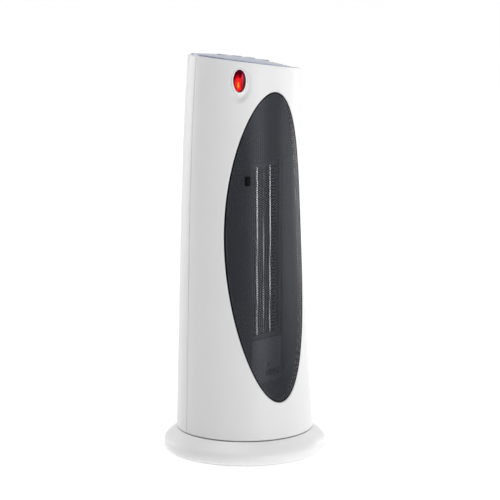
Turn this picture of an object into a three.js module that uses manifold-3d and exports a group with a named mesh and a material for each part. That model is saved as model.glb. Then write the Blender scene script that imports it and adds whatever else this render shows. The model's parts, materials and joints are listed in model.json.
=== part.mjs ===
// Oscillating ceramic tower heater. Millimetres, +Z up, front at -Y.
// Origin: centre of the base, on the surface that the feet stand on.
import * as THREE from 'three';
import { mergeVertices } from 'three/addons/utils/BufferGeometryUtils.js';
import Module from 'manifold-3d';

const wasm = await Module();
wasm.setup();

// ---- Driving dimensions ----

const gap = 0.3; // between pieces that rest on, or in, each other
const wall = 2.5; // moulded shells
const sheet = 1.5; // thin inner mouldings

// Head: round sections that taper upwards and bow towards the back.
const bodyLow = 25;
const bodyHigh = 428;
const bodyRadii = [75.6, 65.2, 61.4]; // Bezier control radii, bottom to top
const bowDepths = [0, 6.2, 13.3, 0.5]; // Bezier control offsets of the section centres
const rimSlope = Math.atan(0.145); // the top rim falls towards +X

// Oval outlet in the front of the head
const ovalHalfWidth = 50;
const ovalHalfHeight = 168;
const ovalCentre = 232;

// Base
const baseRadius = 90;
const plateLow = 2;
const plateHigh = 4.5;
const deckHigh = 14; // floor of the well that holds the swing gears
const deckThickness = 2.5;
const plateRadius = 85.2;
const footRadius = 6;
const footCircle = 78;
const footAngle = 36.4; // degrees from the front and from the back
const footAngles = [270 - footAngle, 270 + footAngle, 90 - footAngle, 90 + footAngle];
const baseScrewCircle = 55;
const baseScrewAngles = [30, 150, 240];
const baseScrew = { head: 3.2, shank: 1.2, low: 2.3, headHigh: 4.2, shankHigh: 10.5, high: 11.2 };
const baseBoss = 4; // radius of the posts that the base screws go into
const baseHigh = 23.8; // top edge of the base cover
const slideRing = { inner: 62, outer: 68, low: 22.6, high: 24.6 };
const tipPlace = { x: 0, y: -50 }; // tip-over switch, with its plunger
const plungerStem = 2;
const plungerFoot = 4.8;
const inlet = { z: 10, radius: 5, bore: 3.6, front: 72.4, back: 88.4 };

// Swing: the head turns on a hollow post, driven round a fixed gear by a pinion
const postRadius = 13;
const postBore = 8;
const postHigh = 34;
const floorLow = 25; // the head's floor plate
const floorHigh = 28;
const gearModule = 1.25;
const gearTeeth = 60;
const pinionTeeth = 12;
const pressureAngle = 25;
const toothAddendum = 0.8; // in modules
const toothDedendum = 1.05;
const toothPlay = 0.3; // backlash at the pitch circle
const gearLow = 14.3;
const gearHigh = 20.3;
const gearDistance = gearModule * (gearTeeth + pinionTeeth) / 2;

// Heating element and blower share a frame that is turned towards +X
const heaterTurn = 15;
const heaterPlace = new THREE.Vector3(-3, -33, 0);
const heaterLow = 135;
const heaterHigh = 319;
const heaterDepth = 14;
const barOffset = 10.5;
const barWidth = 1.8;
const finWidth = 8.8;
const holderHalf = { width: 21.5, depth: heaterDepth / 2 + 1.5 };

// Baffle in front of the element, and the funnel that joins it to the oval outlet
const baffleFront = -10.3; // in the element's frame
const baffleHalfWidth = 25.5;
const baffleLow = 78.5;
const baffleHigh = 334.5;
const windowHalfWidth = 20.7;
const windowMargin = 1.8; // past the element's ends
const fanOffset = new THREE.Vector2(-4, 42); // fan axis from the element, in that frame
const fanRadius = 24;
const fanLow = 138;
const fanHigh = 316;
const fanBlades = 14;
const blowerFront = heaterDepth / 2 + 2; // where the blower's housing meets the element
const shaftRadius = 2.5;
const motorLow = 88;
const motorHigh = 108;

// Control panel, in the plane of the top rim
const panelCrown = { height: 6, radius: 70, x: -10 };
const panelDip = 1; // below the rim, at the crown's own edge
const panelThickness = 2.4;
const boardTop = -12.4;
const buttonTravel = 1.2;
const powerButton = { x: 21, y: -2, radius: 8 };
const smallButtons = [
  { name: 'button_mode', x: 2, y: -7, radius: 5.5 },
  { name: 'button_swing', x: -14, y: -6, radius: 5.5 },
  { name: 'button_timer', x: -29, y: 1, radius: 5.5 },
];

// Indicator lens, on the front left of the head
const lensAngle = 37; // degrees from the front towards -X
const lensHeight = 413;
const lensHalf = { width: 6.5, height: 12 };
const bezelHalf = { width: 8.3, height: 13.8 };

// Back of the head
const slotRows = 14;
const slotPitch = 15;
const slotLow = 130;
const slotSize = { width: 42, height: 7 };
const slotColumns = [-24, 24];
const gripHalf = { width: 38, height: 14 };
const gripHeight = 372;
const gripFloor = 40;
const shellScrews = [
  { x: 56, z: 48 },
  { x: -56, z: 48 },
  { x: 50, z: 385 },
  { x: -50, z: 385 },
];
const bossSplit = 18;

const degrees = THREE.MathUtils.degToRad;
const fullTurn = 2 * Math.PI;

// ---- Materials ----

function finish(color, roughness, metalness = 0) {
  return new THREE.MeshStandardMaterial({ color, roughness, metalness });
}

const materials = {
  whitePlastic: finish(0xeeeeec, 0.38),
  panelPlastic: finish(0xc3cad8, 0.3),
  buttonPlastic: finish(0xd4d9e2, 0.35),
  darkButton: finish(0x6d7382, 0.35),
  blackPlastic: finish(0x2b2b2f, 0.6),
  meshPaint: finish(0x2e2e33, 0.5, 0.3),
  redLens: finish(0xd01818, 0.12),
  aluminium: finish(0xc8cacc, 0.35, 1),
  finAluminium: finish(0x6f726c, 0.45, 1),
  steel: finish(0x9a9da1, 0.4, 1),
  lamination: finish(0x565a5e, 0.55, 0.8),
  coilTape: finish(0xb7a26a, 0.6),
  acetal: finish(0xe6e2d4, 0.45),
  rubber: finish(0x222222, 0.85),
  circuitBoard: finish(0x2f6a45, 0.5),
  cableSleeve: finish(0x1f1f1f, 0.6),
};

// ---- Solids ----

function toSolid(geometry) {
  const plain = geometry.clone();
  plain.deleteAttribute('normal');
  plain.deleteAttribute('uv');
  const merged = mergeVertices(plain, 1e-4);
  return new wasm.Manifold(new wasm.Mesh({
    numProp: 3,
    vertProperties: Float32Array.from(merged.attributes.position.array),
    triVerts: Uint32Array.from(merged.index.array),
  }));
}

function toGeometry(solid) {
  const mesh = solid.getMesh();
  const geometry = new THREE.BufferGeometry();
  geometry.setAttribute('position', new THREE.BufferAttribute(mesh.vertProperties, 3));
  geometry.setIndex(new THREE.BufferAttribute(mesh.triVerts, 1));
  return geometry;
}

function join(...geometries) {
  return toGeometry(geometries.map(toSolid).reduce((sum, solid) => sum.add(solid)));
}

function cut(geometry, ...cutters) {
  return toGeometry(cutters.map(toSolid).reduce((rest, solid) => rest.subtract(solid), toSolid(geometry)));
}

function common(first, second) {
  return toGeometry(toSolid(first).intersect(toSolid(second)));
}

function cylinder(radius, low, high, x = 0, y = 0, segments = 24) {
  const geometry = new THREE.CylinderGeometry(radius, radius, high - low, segments);
  geometry.rotateX(Math.PI / 2);
  geometry.translate(x, y, (low + high) / 2);
  return geometry;
}

// Cylinder that runs along Y.
function crossCylinder(radius, front, back, x, z, segments = 12) {
  const geometry = new THREE.CylinderGeometry(radius, radius, back - front, segments);
  geometry.translate(x, (front + back) / 2, z);
  return geometry;
}

function box(low, high) {
  const size = new THREE.Vector3().subVectors(high, low);
  const geometry = new THREE.BoxGeometry(size.x, size.y, size.z);
  const centre = new THREE.Vector3().addVectors(low, high).multiplyScalar(0.5);
  geometry.translate(centre.x, centre.y, centre.z);
  return geometry;
}

function boxAt(x, y, z, width, depth, height) {
  const geometry = new THREE.BoxGeometry(width, depth, height);
  geometry.translate(x, y, z);
  return geometry;
}

function revolve(profile, segments = 40) {
  const geometry = new THREE.LatheGeometry(profile.map(([r, z]) => new THREE.Vector2(r, z)), segments);
  geometry.rotateX(Math.PI / 2);
  return geometry;
}

function ring(outer, inner, low, high, segments = 32) {
  return revolve([[inner, low], [outer, low], [outer, high], [inner, high], [inner, low]], segments);
}

// Upright prism over an outline in X and Y.
function prism(points, low, high) {
  const shape = new THREE.Shape(points);
  const geometry = new THREE.ExtrudeGeometry(shape, { depth: high - low, bevelEnabled: false });
  geometry.translate(0, 0, low);
  return geometry;
}

// Prism along Y over an outline given in X and Z.
function crossPrism(points, front, back) {
  const geometry = new THREE.ExtrudeGeometry(new THREE.Shape(points), {
    depth: back - front,
    bevelEnabled: false,
  });
  geometry.rotateX(Math.PI / 2);
  geometry.translate(0, back, 0);
  return geometry;
}

function ellipsePoints(halfWidth, halfHeight, centreX, centreY, count) {
  const curve = new THREE.EllipseCurve(centreX, centreY, halfWidth, halfHeight);
  return curve.getPoints(count).slice(0, -1);
}

function rectanglePoints(halfWidth, halfHeight, centreX, centreY, corner) {
  const path = new THREE.Path();
  const right = centreX + halfWidth - corner;
  const left = centreX - halfWidth + corner;
  const top = centreY + halfHeight - corner;
  const bottom = centreY - halfHeight + corner;
  path.absarc(right, top, corner, 0, Math.PI / 2);
  path.absarc(left, top, corner, Math.PI / 2, Math.PI);
  path.absarc(left, bottom, corner, Math.PI, 1.5 * Math.PI);
  path.absarc(right, bottom, corner, 1.5 * Math.PI, fullTurn);
  return path.getPoints(4);
}

// ---- The head's skin ----

function bezier(t, values) {
  if (values.length === 1) return values[0];
  const left = bezier(t, values.slice(0, -1));
  const right = bezier(t, values.slice(1));
  return (1 - t) * left + t * right;
}

function heightShare(z) {
  return (z - bodyLow) / (bodyHigh - bodyLow);
}

function bodyRadius(z) {
  return bezier(heightShare(z), bodyRadii);
}

function bodyBow(z) {
  return bezier(heightShare(z), bowDepths);
}

function skinPoint(z, angle, depth) {
  const radius = bodyRadius(z) - depth;
  return [radius * Math.cos(angle), bodyBow(z) + radius * Math.sin(angle), z];
}

// Closed solid from rows of points, each row going once round a section. The last argument closes
// the first and the last row.
function gridSolid(rows, columns, point, closeEnds) {
  const positions = [];
  for (let i = 0; i <= rows; i += 1) {
    for (let j = 0; j < columns; j += 1) positions.push(...point(i / rows, j));
  }
  const index = [];
  const at = (i, j) => i * columns + ((j + columns) % columns);
  for (let i = 0; i < rows; i += 1) {
    for (let j = 0; j < columns; j += 1) {
      index.push(at(i, j), at(i, j + 1), at(i + 1, j + 1));
      index.push(at(i, j), at(i + 1, j + 1), at(i + 1, j));
    }
  }
  closeEnds(index, at);
  const geometry = new THREE.BufferGeometry();
  geometry.setAttribute('position', new THREE.Float32BufferAttribute(positions, 3));
  geometry.setIndex(index);
  return geometry;
}

// Everything inside the skin, less a depth, between two heights.
function skinPlug(depth, low, high, rows = 8, columns = 32) {
  const point = (t, j) => skinPoint(low + t * (high - low), fullTurn * j / columns, depth);
  return gridSolid(rows, columns, point, (index, at) => {
    for (let j = 1; j < columns - 1; j += 1) {
      index.push(at(0, 0), at(0, j + 1), at(0, j));
      index.push(at(rows, 0), at(rows, j), at(rows, j + 1));
    }
  });
}

// Wall that follows the skin between two depths and two angles, in degrees.
function skinWall({ outer, inner, from, to, low, high, rows = 8, steps = 16 }) {
  const columns = 2 * (steps + 1);
  const point = (t, j) => {
    const onOuter = j <= steps;
    const step = onOuter ? j : columns - 1 - j;
    const angle = degrees(from + (to - from) * step / steps);
    return skinPoint(low + t * (high - low), angle, onOuter ? outer : inner);
  };
  return gridSolid(rows, columns, point, (index, at) => {
    for (let step = 0; step < steps; step += 1) {
      const back = columns - 1 - step;
      index.push(at(0, step), at(0, back), at(0, step + 1));
      index.push(at(0, step + 1), at(0, back), at(0, back - 1));
      index.push(at(rows, step), at(rows, step + 1), at(rows, back));
      index.push(at(rows, step + 1), at(rows, back - 1), at(rows, back));
    }
  });
}

// Moves a solid from the plane of the top rim to its place.
function toRim(geometry) {
  geometry.rotateY(rimSlope);
  geometry.translate(0, bodyBow(bodyHigh), bodyHigh);
  return geometry;
}

function aboveRim(lift = 0) {
  const space = new THREE.Vector3(150, 150, 120);
  return toRim(box(new THREE.Vector3(-space.x, -space.y, lift), space));
}

function ovalPrism(inset) {
  const points = ellipsePoints(ovalHalfWidth - inset, ovalHalfHeight - inset, 0, ovalCentre, 44);
  return crossPrism(points, -100, 0);
}

// ---- Scene graph ----

const heater = new THREE.Group();
const base = new THREE.Group();
const head = new THREE.Group();
const heaterFrame = new THREE.Group();
heaterFrame.position.copy(heaterPlace);
heaterFrame.rotation.z = degrees(heaterTurn);
head.add(heaterFrame);
heater.add(base, head);

function add(parent, name, geometry, material) {
  const mesh = new THREE.Mesh(geometry, material);
  mesh.name = name;
  parent.add(mesh);
  return mesh;
}

function polar(radius, angle) {
  return [radius * Math.cos(degrees(angle)), radius * Math.sin(degrees(angle))];
}

// ---- Base ----

// A cylinder on the axis of each base screw.
function baseScrewPosts(radius, low, high, segments) {
  return baseScrewAngles.map((angle) => {
    const [x, y] = polar(baseScrewCircle, angle);
    return cylinder(radius, low, high, x, y, segments);
  });
}

function makeBaseCover() {
  const rib = { inner: slideRing.inner - 1, outer: slideRing.outer + 1, high: slideRing.low - gap };
  const under = deckHigh - deckThickness;
  const outline = [
    [88, 1], [89.6, 3.2], [baseRadius, 5.6], [baseRadius, 8.2], [89.3, 11], [87.5, 13.6],
    [84.2, 16.7], [80, 20.1], [75.4, baseHigh],
    [73, baseHigh], [73, deckHigh], [rib.outer, deckHigh], [rib.outer, rib.high],
    [rib.inner, rib.high], [rib.inner, deckHigh], [postRadius + gap, deckHigh],
    [postRadius + gap, under], [70.5, under], [70.5, 19.5], [76.5, 18.8],
    [83.5, 13.2], [86.6, 9], [86.8, 5], [86, 1], [88, 1],
  ];
  const bosses = baseScrewPosts(baseBoss, plateHigh + gap, under + 1, 12);
  const pilots = baseScrewPosts(baseScrew.shank + gap, 0, under, 8);
  const inletHole = crossCylinder(inlet.radius + gap, inlet.front - 0.4, baseRadius + 5, 0, inlet.z, 16);
  const tipHole = cylinder(plungerStem + 2 * gap, 0, deckHigh + 5, tipPlace.x, tipPlace.y, 12);
  const cover = cut(join(revolve(outline, 32), ...bosses), ...pilots, inletHole, tipHole);
  add(base, 'base_cover', cover, materials.whitePlastic);
}

function makeBasePlate() {
  const recesses = baseScrewPosts(baseScrew.head + gap, 0, plateHigh - 0.1, 12);
  const holes = baseScrewPosts(baseScrew.shank + gap, 0, 10, 8);
  const tipHole = cylinder(plungerFoot + 0.7, 0, 10, tipPlace.x, tipPlace.y, 16);
  const plate = cut(cylinder(plateRadius, plateLow, plateHigh, 0, 0, 40), ...recesses, ...holes, tipHole);
  add(base, 'base_plate', plate, materials.blackPlastic);
}

function makeFeet() {
  footAngles.forEach((angle, i) => {
    const [x, y] = polar(footCircle, angle);
    const high = plateLow - gap;
    const edge = 0.8;
    const profile = [[0, 0], [footRadius - edge, 0], [footRadius, edge], [footRadius, high], [0, high]];
    const foot = revolve(profile, 12);
    foot.translate(x, y, 0);
    add(base, `foot_${i + 1}`, foot, materials.rubber);
  });
}

function makeBaseScrews() {
  baseScrewAngles.forEach((angle, i) => {
    const screw = revolve([
      [0, baseScrew.low], [baseScrew.head, baseScrew.low], [baseScrew.head, baseScrew.headHigh - 0.1],
      [baseScrew.shank, baseScrew.headHigh - 0.1], [baseScrew.shank, baseScrew.shankHigh],
      [0, baseScrew.high],
    ], 8);
    screw.translate(...polar(baseScrewCircle, angle), 0);
    add(base, `base_screw_${i + 1}`, screw, materials.steel);
  });
}

function makePivotPost() {
  const flange = 27;
  const groove = { depth: 1, low: floorHigh + gap, high: floorHigh + gap + 2 };
  const low = plateHigh + gap;
  const post = revolve([
    [postBore, low], [flange, low], [flange, low + 3], [postRadius, low + 3],
    [postRadius, groove.low], [postRadius - groove.depth, groove.low],
    [postRadius - groove.depth, groove.high], [postRadius, groove.high],
    [postRadius, postHigh], [postBore, postHigh], [postBore, low],
  ], 24);
  add(base, 'pivot_post', post, materials.acetal);
  const clip = ring(18, postRadius - groove.depth + 0.2, groove.low + 0.25, groove.high - 0.25, 24);
  const mouth = box(new THREE.Vector3(-5, -30, 0), new THREE.Vector3(5, -8, 60));
  add(base, 'retaining_clip', cut(clip, mouth), materials.steel);
}

function makeSlideRing() {
  const { outer, inner, low, high } = slideRing;
  add(base, 'slide_ring', ring(outer, inner, low, high), materials.acetal);
}

// One flank of an involute tooth: polar angles past the tooth's centre line, root to tip.
function toothFlank(teeth) {
  const pitch = gearModule * teeth / 2;
  const baseCircle = pitch * Math.cos(degrees(pressureAngle));
  const root = pitch - toothDedendum * gearModule;
  const tip = pitch + toothAddendum * gearModule;
  const involute = (r) => Math.tan(Math.acos(baseCircle / r)) - Math.acos(baseCircle / r);
  const halfAtPitch = Math.PI / (2 * teeth) - toothPlay / (4 * pitch);
  const start = Math.max(root, baseCircle + 0.01);
  const radii = root < start ? [root] : [];
  for (let i = 0; i <= 2; i += 1) radii.push(start + (tip - start) * i / 2);
  return radii.map((r) => [r, halfAtPitch + involute(pitch) - involute(Math.max(r, start))]);
}

function toothPoints(teeth, centreAngle) {
  const flank = toothFlank(teeth);
  const rising = flank.map(([r, angle]) => [r, centreAngle - angle]);
  const falling = flank.map(([r, angle]) => [r, centreAngle + angle]).reverse();
  return [...rising, ...falling].map(([r, angle]) => {
    return new THREE.Vector2(r * Math.cos(angle), r * Math.sin(angle));
  });
}

function makeGearSector() {
  const spacing = fullTurn / gearTeeth;
  const reach = 8; // teeth on each side of the middle one
  const hub = 24;
  const points = [];
  for (let i = -reach; i <= reach; i += 1) {
    points.push(...toothPoints(gearTeeth, Math.PI / 2 + i * spacing));
  }
  const last = Math.PI / 2 + (reach + 0.5) * spacing;
  const sweep = fullTurn - (2 * reach + 1) * spacing;
  for (let i = 0; i <= 18; i += 1) {
    const angle = last + sweep * i / 18;
    points.push(new THREE.Vector2(hub * Math.cos(angle), hub * Math.sin(angle)));
  }
  const bore = cylinder(postRadius + gap, 0, 60, 0, 0, 28);
  const screws = [200, 340].map((angle) => cylinder(1.8, 0, 60, ...polar(19, angle), 8));
  add(base, 'gear_sector', cut(prism(points, gearLow, gearHigh), bore, ...screws), materials.acetal);
}

function makeTipSwitch() {
  const low = deckHigh + gap;
  const body = boxAt(tipPlace.x, tipPlace.y, low + 3.2, 20, 10, 6.4);
  const pins = [-7, 0, 7].map((x) => boxAt(x, tipPlace.y - 6.5, low + 3.2, 2.8, 4, 0.6));
  add(base, 'tip_switch', join(body, ...pins), materials.blackPlastic);
  const collar = { radius: 7, low: 8.6, high: 9.8 };
  const plunger = revolve([
    [0, 0], [plungerFoot - 1, 0], [plungerFoot, 1], [plungerFoot, collar.low], [collar.radius, collar.low],
    [collar.radius, collar.high], [plungerStem, collar.high], [plungerStem, deckHigh], [0, deckHigh],
  ], 12);
  plunger.translate(tipPlace.x, tipPlace.y, 0);
  add(base, 'tip_plunger', plunger, materials.blackPlastic);
}

function makeCordInlet() {
  const sleeve = crossCylinder(inlet.radius, inlet.front, inlet.back, 0, inlet.z, 16);
  const bore = crossCylinder(inlet.bore, inlet.front - 5, inlet.back + 5, 0, inlet.z, 16);
  add(base, 'cord_inlet', cut(sleeve, bore), materials.rubber);
}

// ---- Head: shells, floor and grille ----

// Moves an outline, drawn facing +Z, to the lens place on the skin, facing outwards.
function toLens(geometry) {
  const angle = degrees(lensAngle);
  const radius = bodyRadius(lensHeight);
  geometry.rotateX(Math.PI / 2);
  geometry.rotateZ(-angle);
  geometry.translate(-radius * Math.sin(angle), bodyBow(lensHeight) - radius * Math.cos(angle), lensHeight);
  return geometry;
}

function lensPrism(half, low, high) {
  const points = ellipsePoints(half.width, half.height, 0, 0, 24);
  return toLens(prism(points, low, high));
}

function makeFrontShell() {
  const skin = skinWall({ outer: 0, inner: wall, from: 180.15, to: 359.85, low: bodyLow, high: 440 });
  const posts = shellScrews.map(({ x, z }) => crossCylinder(4, -70, bossSplit, x, z, 8));
  const inside = skinPlug(wall / 2, bodyLow, 436);
  const bosses = posts.map((post) => common(post, inside));
  const pilots = shellScrews.map(({ x, z }) => crossCylinder(1.6, bossSplit - 12, bossSplit + 5, x, z, 8));
  const lensHole = lensPrism({ width: bezelHalf.width + gap, height: bezelHalf.height + gap }, -20, 20);
  const shell = cut(join(skin, ...bosses), aboveRim(), ovalPrism(0), lensHole, ...pilots);
  add(head, 'front_shell', shell, materials.whitePlastic);
}

function makeRearShell() {
  const skin = skinWall({ outer: 0, inner: wall, from: 0.15, to: 179.85, low: bodyLow, high: 440 });
  const inside = skinPlug(wall / 2, bodyLow, 436);
  const posts = shellScrews.map(({ x, z }) => crossCylinder(4.6, bossSplit + gap, 100, x, z, 8));
  const bosses = posts.map((post) => common(post, inside));
  const screwHoles = shellScrews.flatMap(({ x, z }) => [
    crossCylinder(1.8, 0, 100, x, z, 8),
    crossCylinder(3.5, bossSplit + 6, 100, x, z, 8),
  ]);
  const slots = [];
  for (let row = 0; row < slotRows; row += 1) {
    const z = slotLow + row * slotPitch;
    slotColumns.forEach((x) => slots.push(boxAt(x, 60, z, slotSize.width, 80, slotSize.height)));
  }
  const gripOutline = rectanglePoints(gripHalf.width + gap, gripHalf.height + gap, 0, gripHeight, 8);
  const grip = crossPrism(gripOutline, 20, 100);
  const shell = cut(join(skin, ...bosses), aboveRim(), ...screwHoles, ...slots, grip);
  add(head, 'rear_shell', shell, materials.whitePlastic);
}

function makeShellScrews() {
  shellScrews.forEach(({ x, z }, i) => {
    const headAt = bossSplit + 6.3;
    const screw = revolve([[0, 0], [1.2, 0.8], [1.2, 15], [3.1, 15], [3.1, 16.6], [2.2, 17.4], [0, 17.4]], 8);
    screw.rotateX(-Math.PI / 2);
    screw.translate(x, headAt - 15, z);
    add(head, `shell_screw_${i + 1}`, screw, materials.steel);
  });
}

function makeGripCup() {
  const outline = rectanglePoints(gripHalf.width, gripHalf.height, 0, gripHeight, 7.7);
  const hollow = rectanglePoints(gripHalf.width - 2, gripHalf.height - 2, 0, gripHeight, 5.7);
  const block = common(crossPrism(outline, gripFloor - 2, 100), skinPlug(2 * gap, 340, 400, 2));
  add(head, 'grip_cup', cut(block, crossPrism(hollow, gripFloor, 110)), materials.whitePlastic);
}

function makeIntakeScreen() {
  const screen = skinWall({
    outer: wall + 1,
    inner: wall + 2,
    from: 33.75,
    to: 146.25,
    low: slotLow - 12,
    high: slotLow + slotRows * slotPitch,
    rows: 4,
    steps: 10,
  });
  add(head, 'intake_screen', screen, materials.meshPaint);
}

function makeFloorPlate() {
  const plate = common(cylinder(80, floorLow, floorHigh, 0, 0, 16), skinPlug(wall + gap, floorLow - 2, 40, 2));
  const bore = cylinder(postRadius + 0.5, 0, 60, 0, 0, 28);
  const pinionHole = cylinder(10, 0, 60, 0, gearDistance, 16);
  add(head, 'floor_plate', cut(plate, bore, pinionHole), materials.blackPlastic);
}

function makeGrille() {
  const patch = { from: 213.75, to: 326.25, low: 55, high: 409, rows: 8, steps: 10 };
  const mesh = common(skinWall({ outer: 0.5, inner: 1.3, ...patch }), ovalPrism(0.5));
  add(head, 'front_grille', mesh, materials.meshPaint);
  const frameRing = common(skinWall({ outer: wall + 2 * gap, inner: wall + 2, ...patch }), ovalPrism(-4));
  add(head, 'grille_frame', cut(frameRing, ovalPrism(3)), materials.blackPlastic);
}

// ---- Head: indicator ----

function makeIndicator() {
  const outer = { width: bezelHalf.width, height: bezelHalf.height };
  const inner = { width: lensHalf.width + gap, height: lensHalf.height + gap };
  const bezel = cut(lensPrism(outer, -3.2, 0.4), lensPrism(inner, -10, 10));
  add(head, 'lens_bezel', bezel, materials.whitePlastic);
  const dome = new THREE.SphereGeometry(1, 16, 8);
  dome.scale(lensHalf.width, lensHalf.height, 2.2);
  dome.translate(0, 0, -0.6);
  const lens = join(toLens(dome), lensPrism(lensHalf, -3.2, -0.6));
  add(head, 'indicator_lens', lens, materials.redLens);
  const board = boxAt(0, 0, -10, 16, 26, 1.6);
  const lamp = cylinder(2.5, -9.5, -4.5, 0, -3, 16);
  add(head, 'indicator_lamp', toLens(join(board, lamp)), materials.circuitBoard);
}

// ---- Head: control panel ----

function crownHeight(radius) {
  return panelCrown.height * (1 - (radius / panelCrown.radius) ** 2) - panelDip;
}

function panelHeight(x, y) {
  return crownHeight(Math.hypot(x - panelCrown.x, y));
}

function makeControlPanel() {
  const under = [0, 28, 50, 76].map((r) => [r, crownHeight(r) - panelThickness]);
  const top = [76, 60, 45, 30, 15, 0].map((r) => [r, crownHeight(r)]);
  const dome = revolve([...under, ...top], 24);
  dome.translate(panelCrown.x, 0, 0);
  const cap = common(toRim(dome), skinPlug(wall + gap, 400, 445, 3));
  const bores = [powerButton, ...smallButtons].map(({ x, y, radius }) => {
    return toRim(cylinder(radius + 0.4, -20, 20, x, y, 14));
  });
  const posts = [[-33, -12], [33, -14], [0, 22]];
  const legs = posts.map(([x, y]) => {
    const high = panelHeight(x, y) - 1;
    return toRim(cylinder(2.4, boardTop + gap, high, x, y, 8));
  });
  add(head, 'control_panel', cut(join(cap, ...legs), ...bores), materials.panelPlastic);
}

function makeButton(name, place, material) {
  const { x, y, radius } = place;
  const top = panelHeight(x, y) + 0.4;
  const shoulder = panelHeight(x, y) - panelThickness - 2.2;
  const tail = boardTop + 1.4 + buttonTravel + gap;
  const cap = revolve([
    [0, tail], [2, tail], [2, shoulder - 1.2], [radius + 1.2, shoulder - 1.2], [radius + 1.2, shoulder],
    [radius, shoulder], [radius, top - 0.6], [radius - 0.6, top], [0, top],
  ], 14);
  cap.translate(x, y, 0);
  add(head, name, toRim(cap), material);
}

function makeControlBoard() {
  const board = box(new THREE.Vector3(-38, -19, boardTop - 1.6), new THREE.Vector3(38, 25, boardTop));
  const keys = [powerButton, ...smallButtons].map(({ x, y }) => boxAt(x, y, boardTop + 0.6, 6, 6, 1.6));
  const relay = boxAt(0, 12, boardTop - 8, 16, 10, 13.5);
  add(head, 'control_board', toRim(join(board, ...keys, relay)), materials.circuitBoard);
}

// ---- Heating element, in its own turned frame ----

function makeElementHolders() {
  const thickness = 8;
  const holder = (name, low) => {
    const centre = low + thickness / 2;
    const block = boxAt(0, 0, centre, 2 * holderHalf.width, 2 * holderHalf.depth, thickness);
    add(heaterFrame, name, block, materials.blackPlastic);
  };
  holder('element_holder_top', heaterHigh + gap);
  holder('element_holder_bottom', heaterLow - gap - thickness);
}

function makeElementBars() {
  const centre = (heaterLow + heaterHigh) / 2;
  const height = heaterHigh - heaterLow;
  [-barOffset, barOffset].forEach((x, i) => {
    const bar = boxAt(x, 0, centre, barWidth, heaterDepth, height);
    add(heaterFrame, `ceramic_bar_${i + 1}`, bar, materials.aluminium);
  });
  const plate = boxAt(0, 0, centre, 1, heaterDepth, height);
  add(heaterFrame, 'centre_electrode', plate, materials.aluminium);
}

// Folded fin strip: a zigzag of constant thickness that rises between two bars.
function makeFins() {
  const folds = 22;
  const halfSheet = 0.6; // measured across, along X
  const half = heaterDepth / 2 - 0.5;
  const columns = [-15.9, -5.05, 5.05, 15.9];
  const pitch = (heaterHigh - heaterLow - 2) / folds;
  columns.forEach((x, i) => {
    const swing = (Math.abs(x) > barOffset ? finWidth : finWidth - 0.6) / 2 - halfSheet;
    const left = [];
    const right = [];
    for (let k = 0; k <= folds; k += 1) {
      const u = x + (k % 2 ? swing : -swing);
      const z = heaterLow + 1 + k * pitch;
      left.push(new THREE.Vector2(u - halfSheet, z));
      right.unshift(new THREE.Vector2(u + halfSheet, z));
    }
    const strip = crossPrism([...left, ...right], -half, half);
    add(heaterFrame, `fin_strip_${i + 1}`, strip, materials.finAluminium);
  });
}

function makeThermalCutout() {
  const low = heaterLow - 8 - 2 * gap;
  const disc = cylinder(6, low - 7, low - 3, 0, 2, 16);
  const foot = boxAt(0, 2, low - 1.75, 26, 11, 3);
  const tabs = [-4, 4].map((x) => boxAt(x, 2, low - 10, 4, 0.8, 7));
  add(heaterFrame, 'thermal_cutout', join(disc, foot, ...tabs), materials.coilTape);
}

// Thin flange that spreads from the baffle's edge to the grille frame. Its thickness runs along Y.
function funnelFlange() {
  const count = 40;
  const turn = degrees(heaterTurn);
  const overlap = 1.5;
  const depth = baffleFront + 0.1;
  const backHalf = { width: baffleHalfWidth - overlap, height: (baffleHigh - baffleLow) / 2 - overlap };
  const backCentre = (baffleHigh + baffleLow) / 2;
  const oval = { width: ovalHalfWidth - 3, height: ovalHalfHeight - 3 };
  const backPoint = (angle) => {
    const scale = 1 / Math.max(Math.abs(Math.cos(angle)), Math.abs(Math.sin(angle)));
    const u = backHalf.width * scale * Math.cos(angle);
    const x = heaterPlace.x + u * Math.cos(turn) - depth * Math.sin(turn);
    const y = heaterPlace.y + u * Math.sin(turn) + depth * Math.cos(turn);
    return [x, y, backCentre + backHalf.height * scale * Math.sin(angle)];
  };
  const frontPoint = (angle) => {
    const x = oval.width * Math.cos(angle);
    const z = ovalCentre + oval.height * Math.sin(angle);
    const radius = bodyRadius(z) - wall - 2 - gap;
    return [x, bodyBow(z) - Math.sqrt(radius * radius - x * x), z];
  };
  const rings = [[backPoint, 0], [frontPoint, 0], [frontPoint, sheet], [backPoint, sheet]];
  const positions = [];
  rings.forEach(([place, back]) => {
    for (let j = 0; j < count; j += 1) {
      const [x, y, z] = place(fullTurn * (j + 0.5) / count);
      positions.push(x, y + back, z);
    }
  });
  const index = [];
  rings.forEach((_, i) => {
    const next = (i + 1) % rings.length;
    for (let j = 0; j < count; j += 1) {
      const k = (j + 1) % count;
      const [a, b, c, d] = [i * count + j, next * count + j, next * count + k, i * count + k];
      // The front and back faces split their quads along the same diagonal.
      if (i < 2) index.push(a, b, c, a, c, d);
      else index.push(a, b, d, b, c, d);
    }
  });
  const geometry = new THREE.BufferGeometry();
  geometry.setAttribute('position', new THREE.Float32BufferAttribute(positions, 3));
  geometry.setIndex(index);
  return geometry;
}

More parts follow.
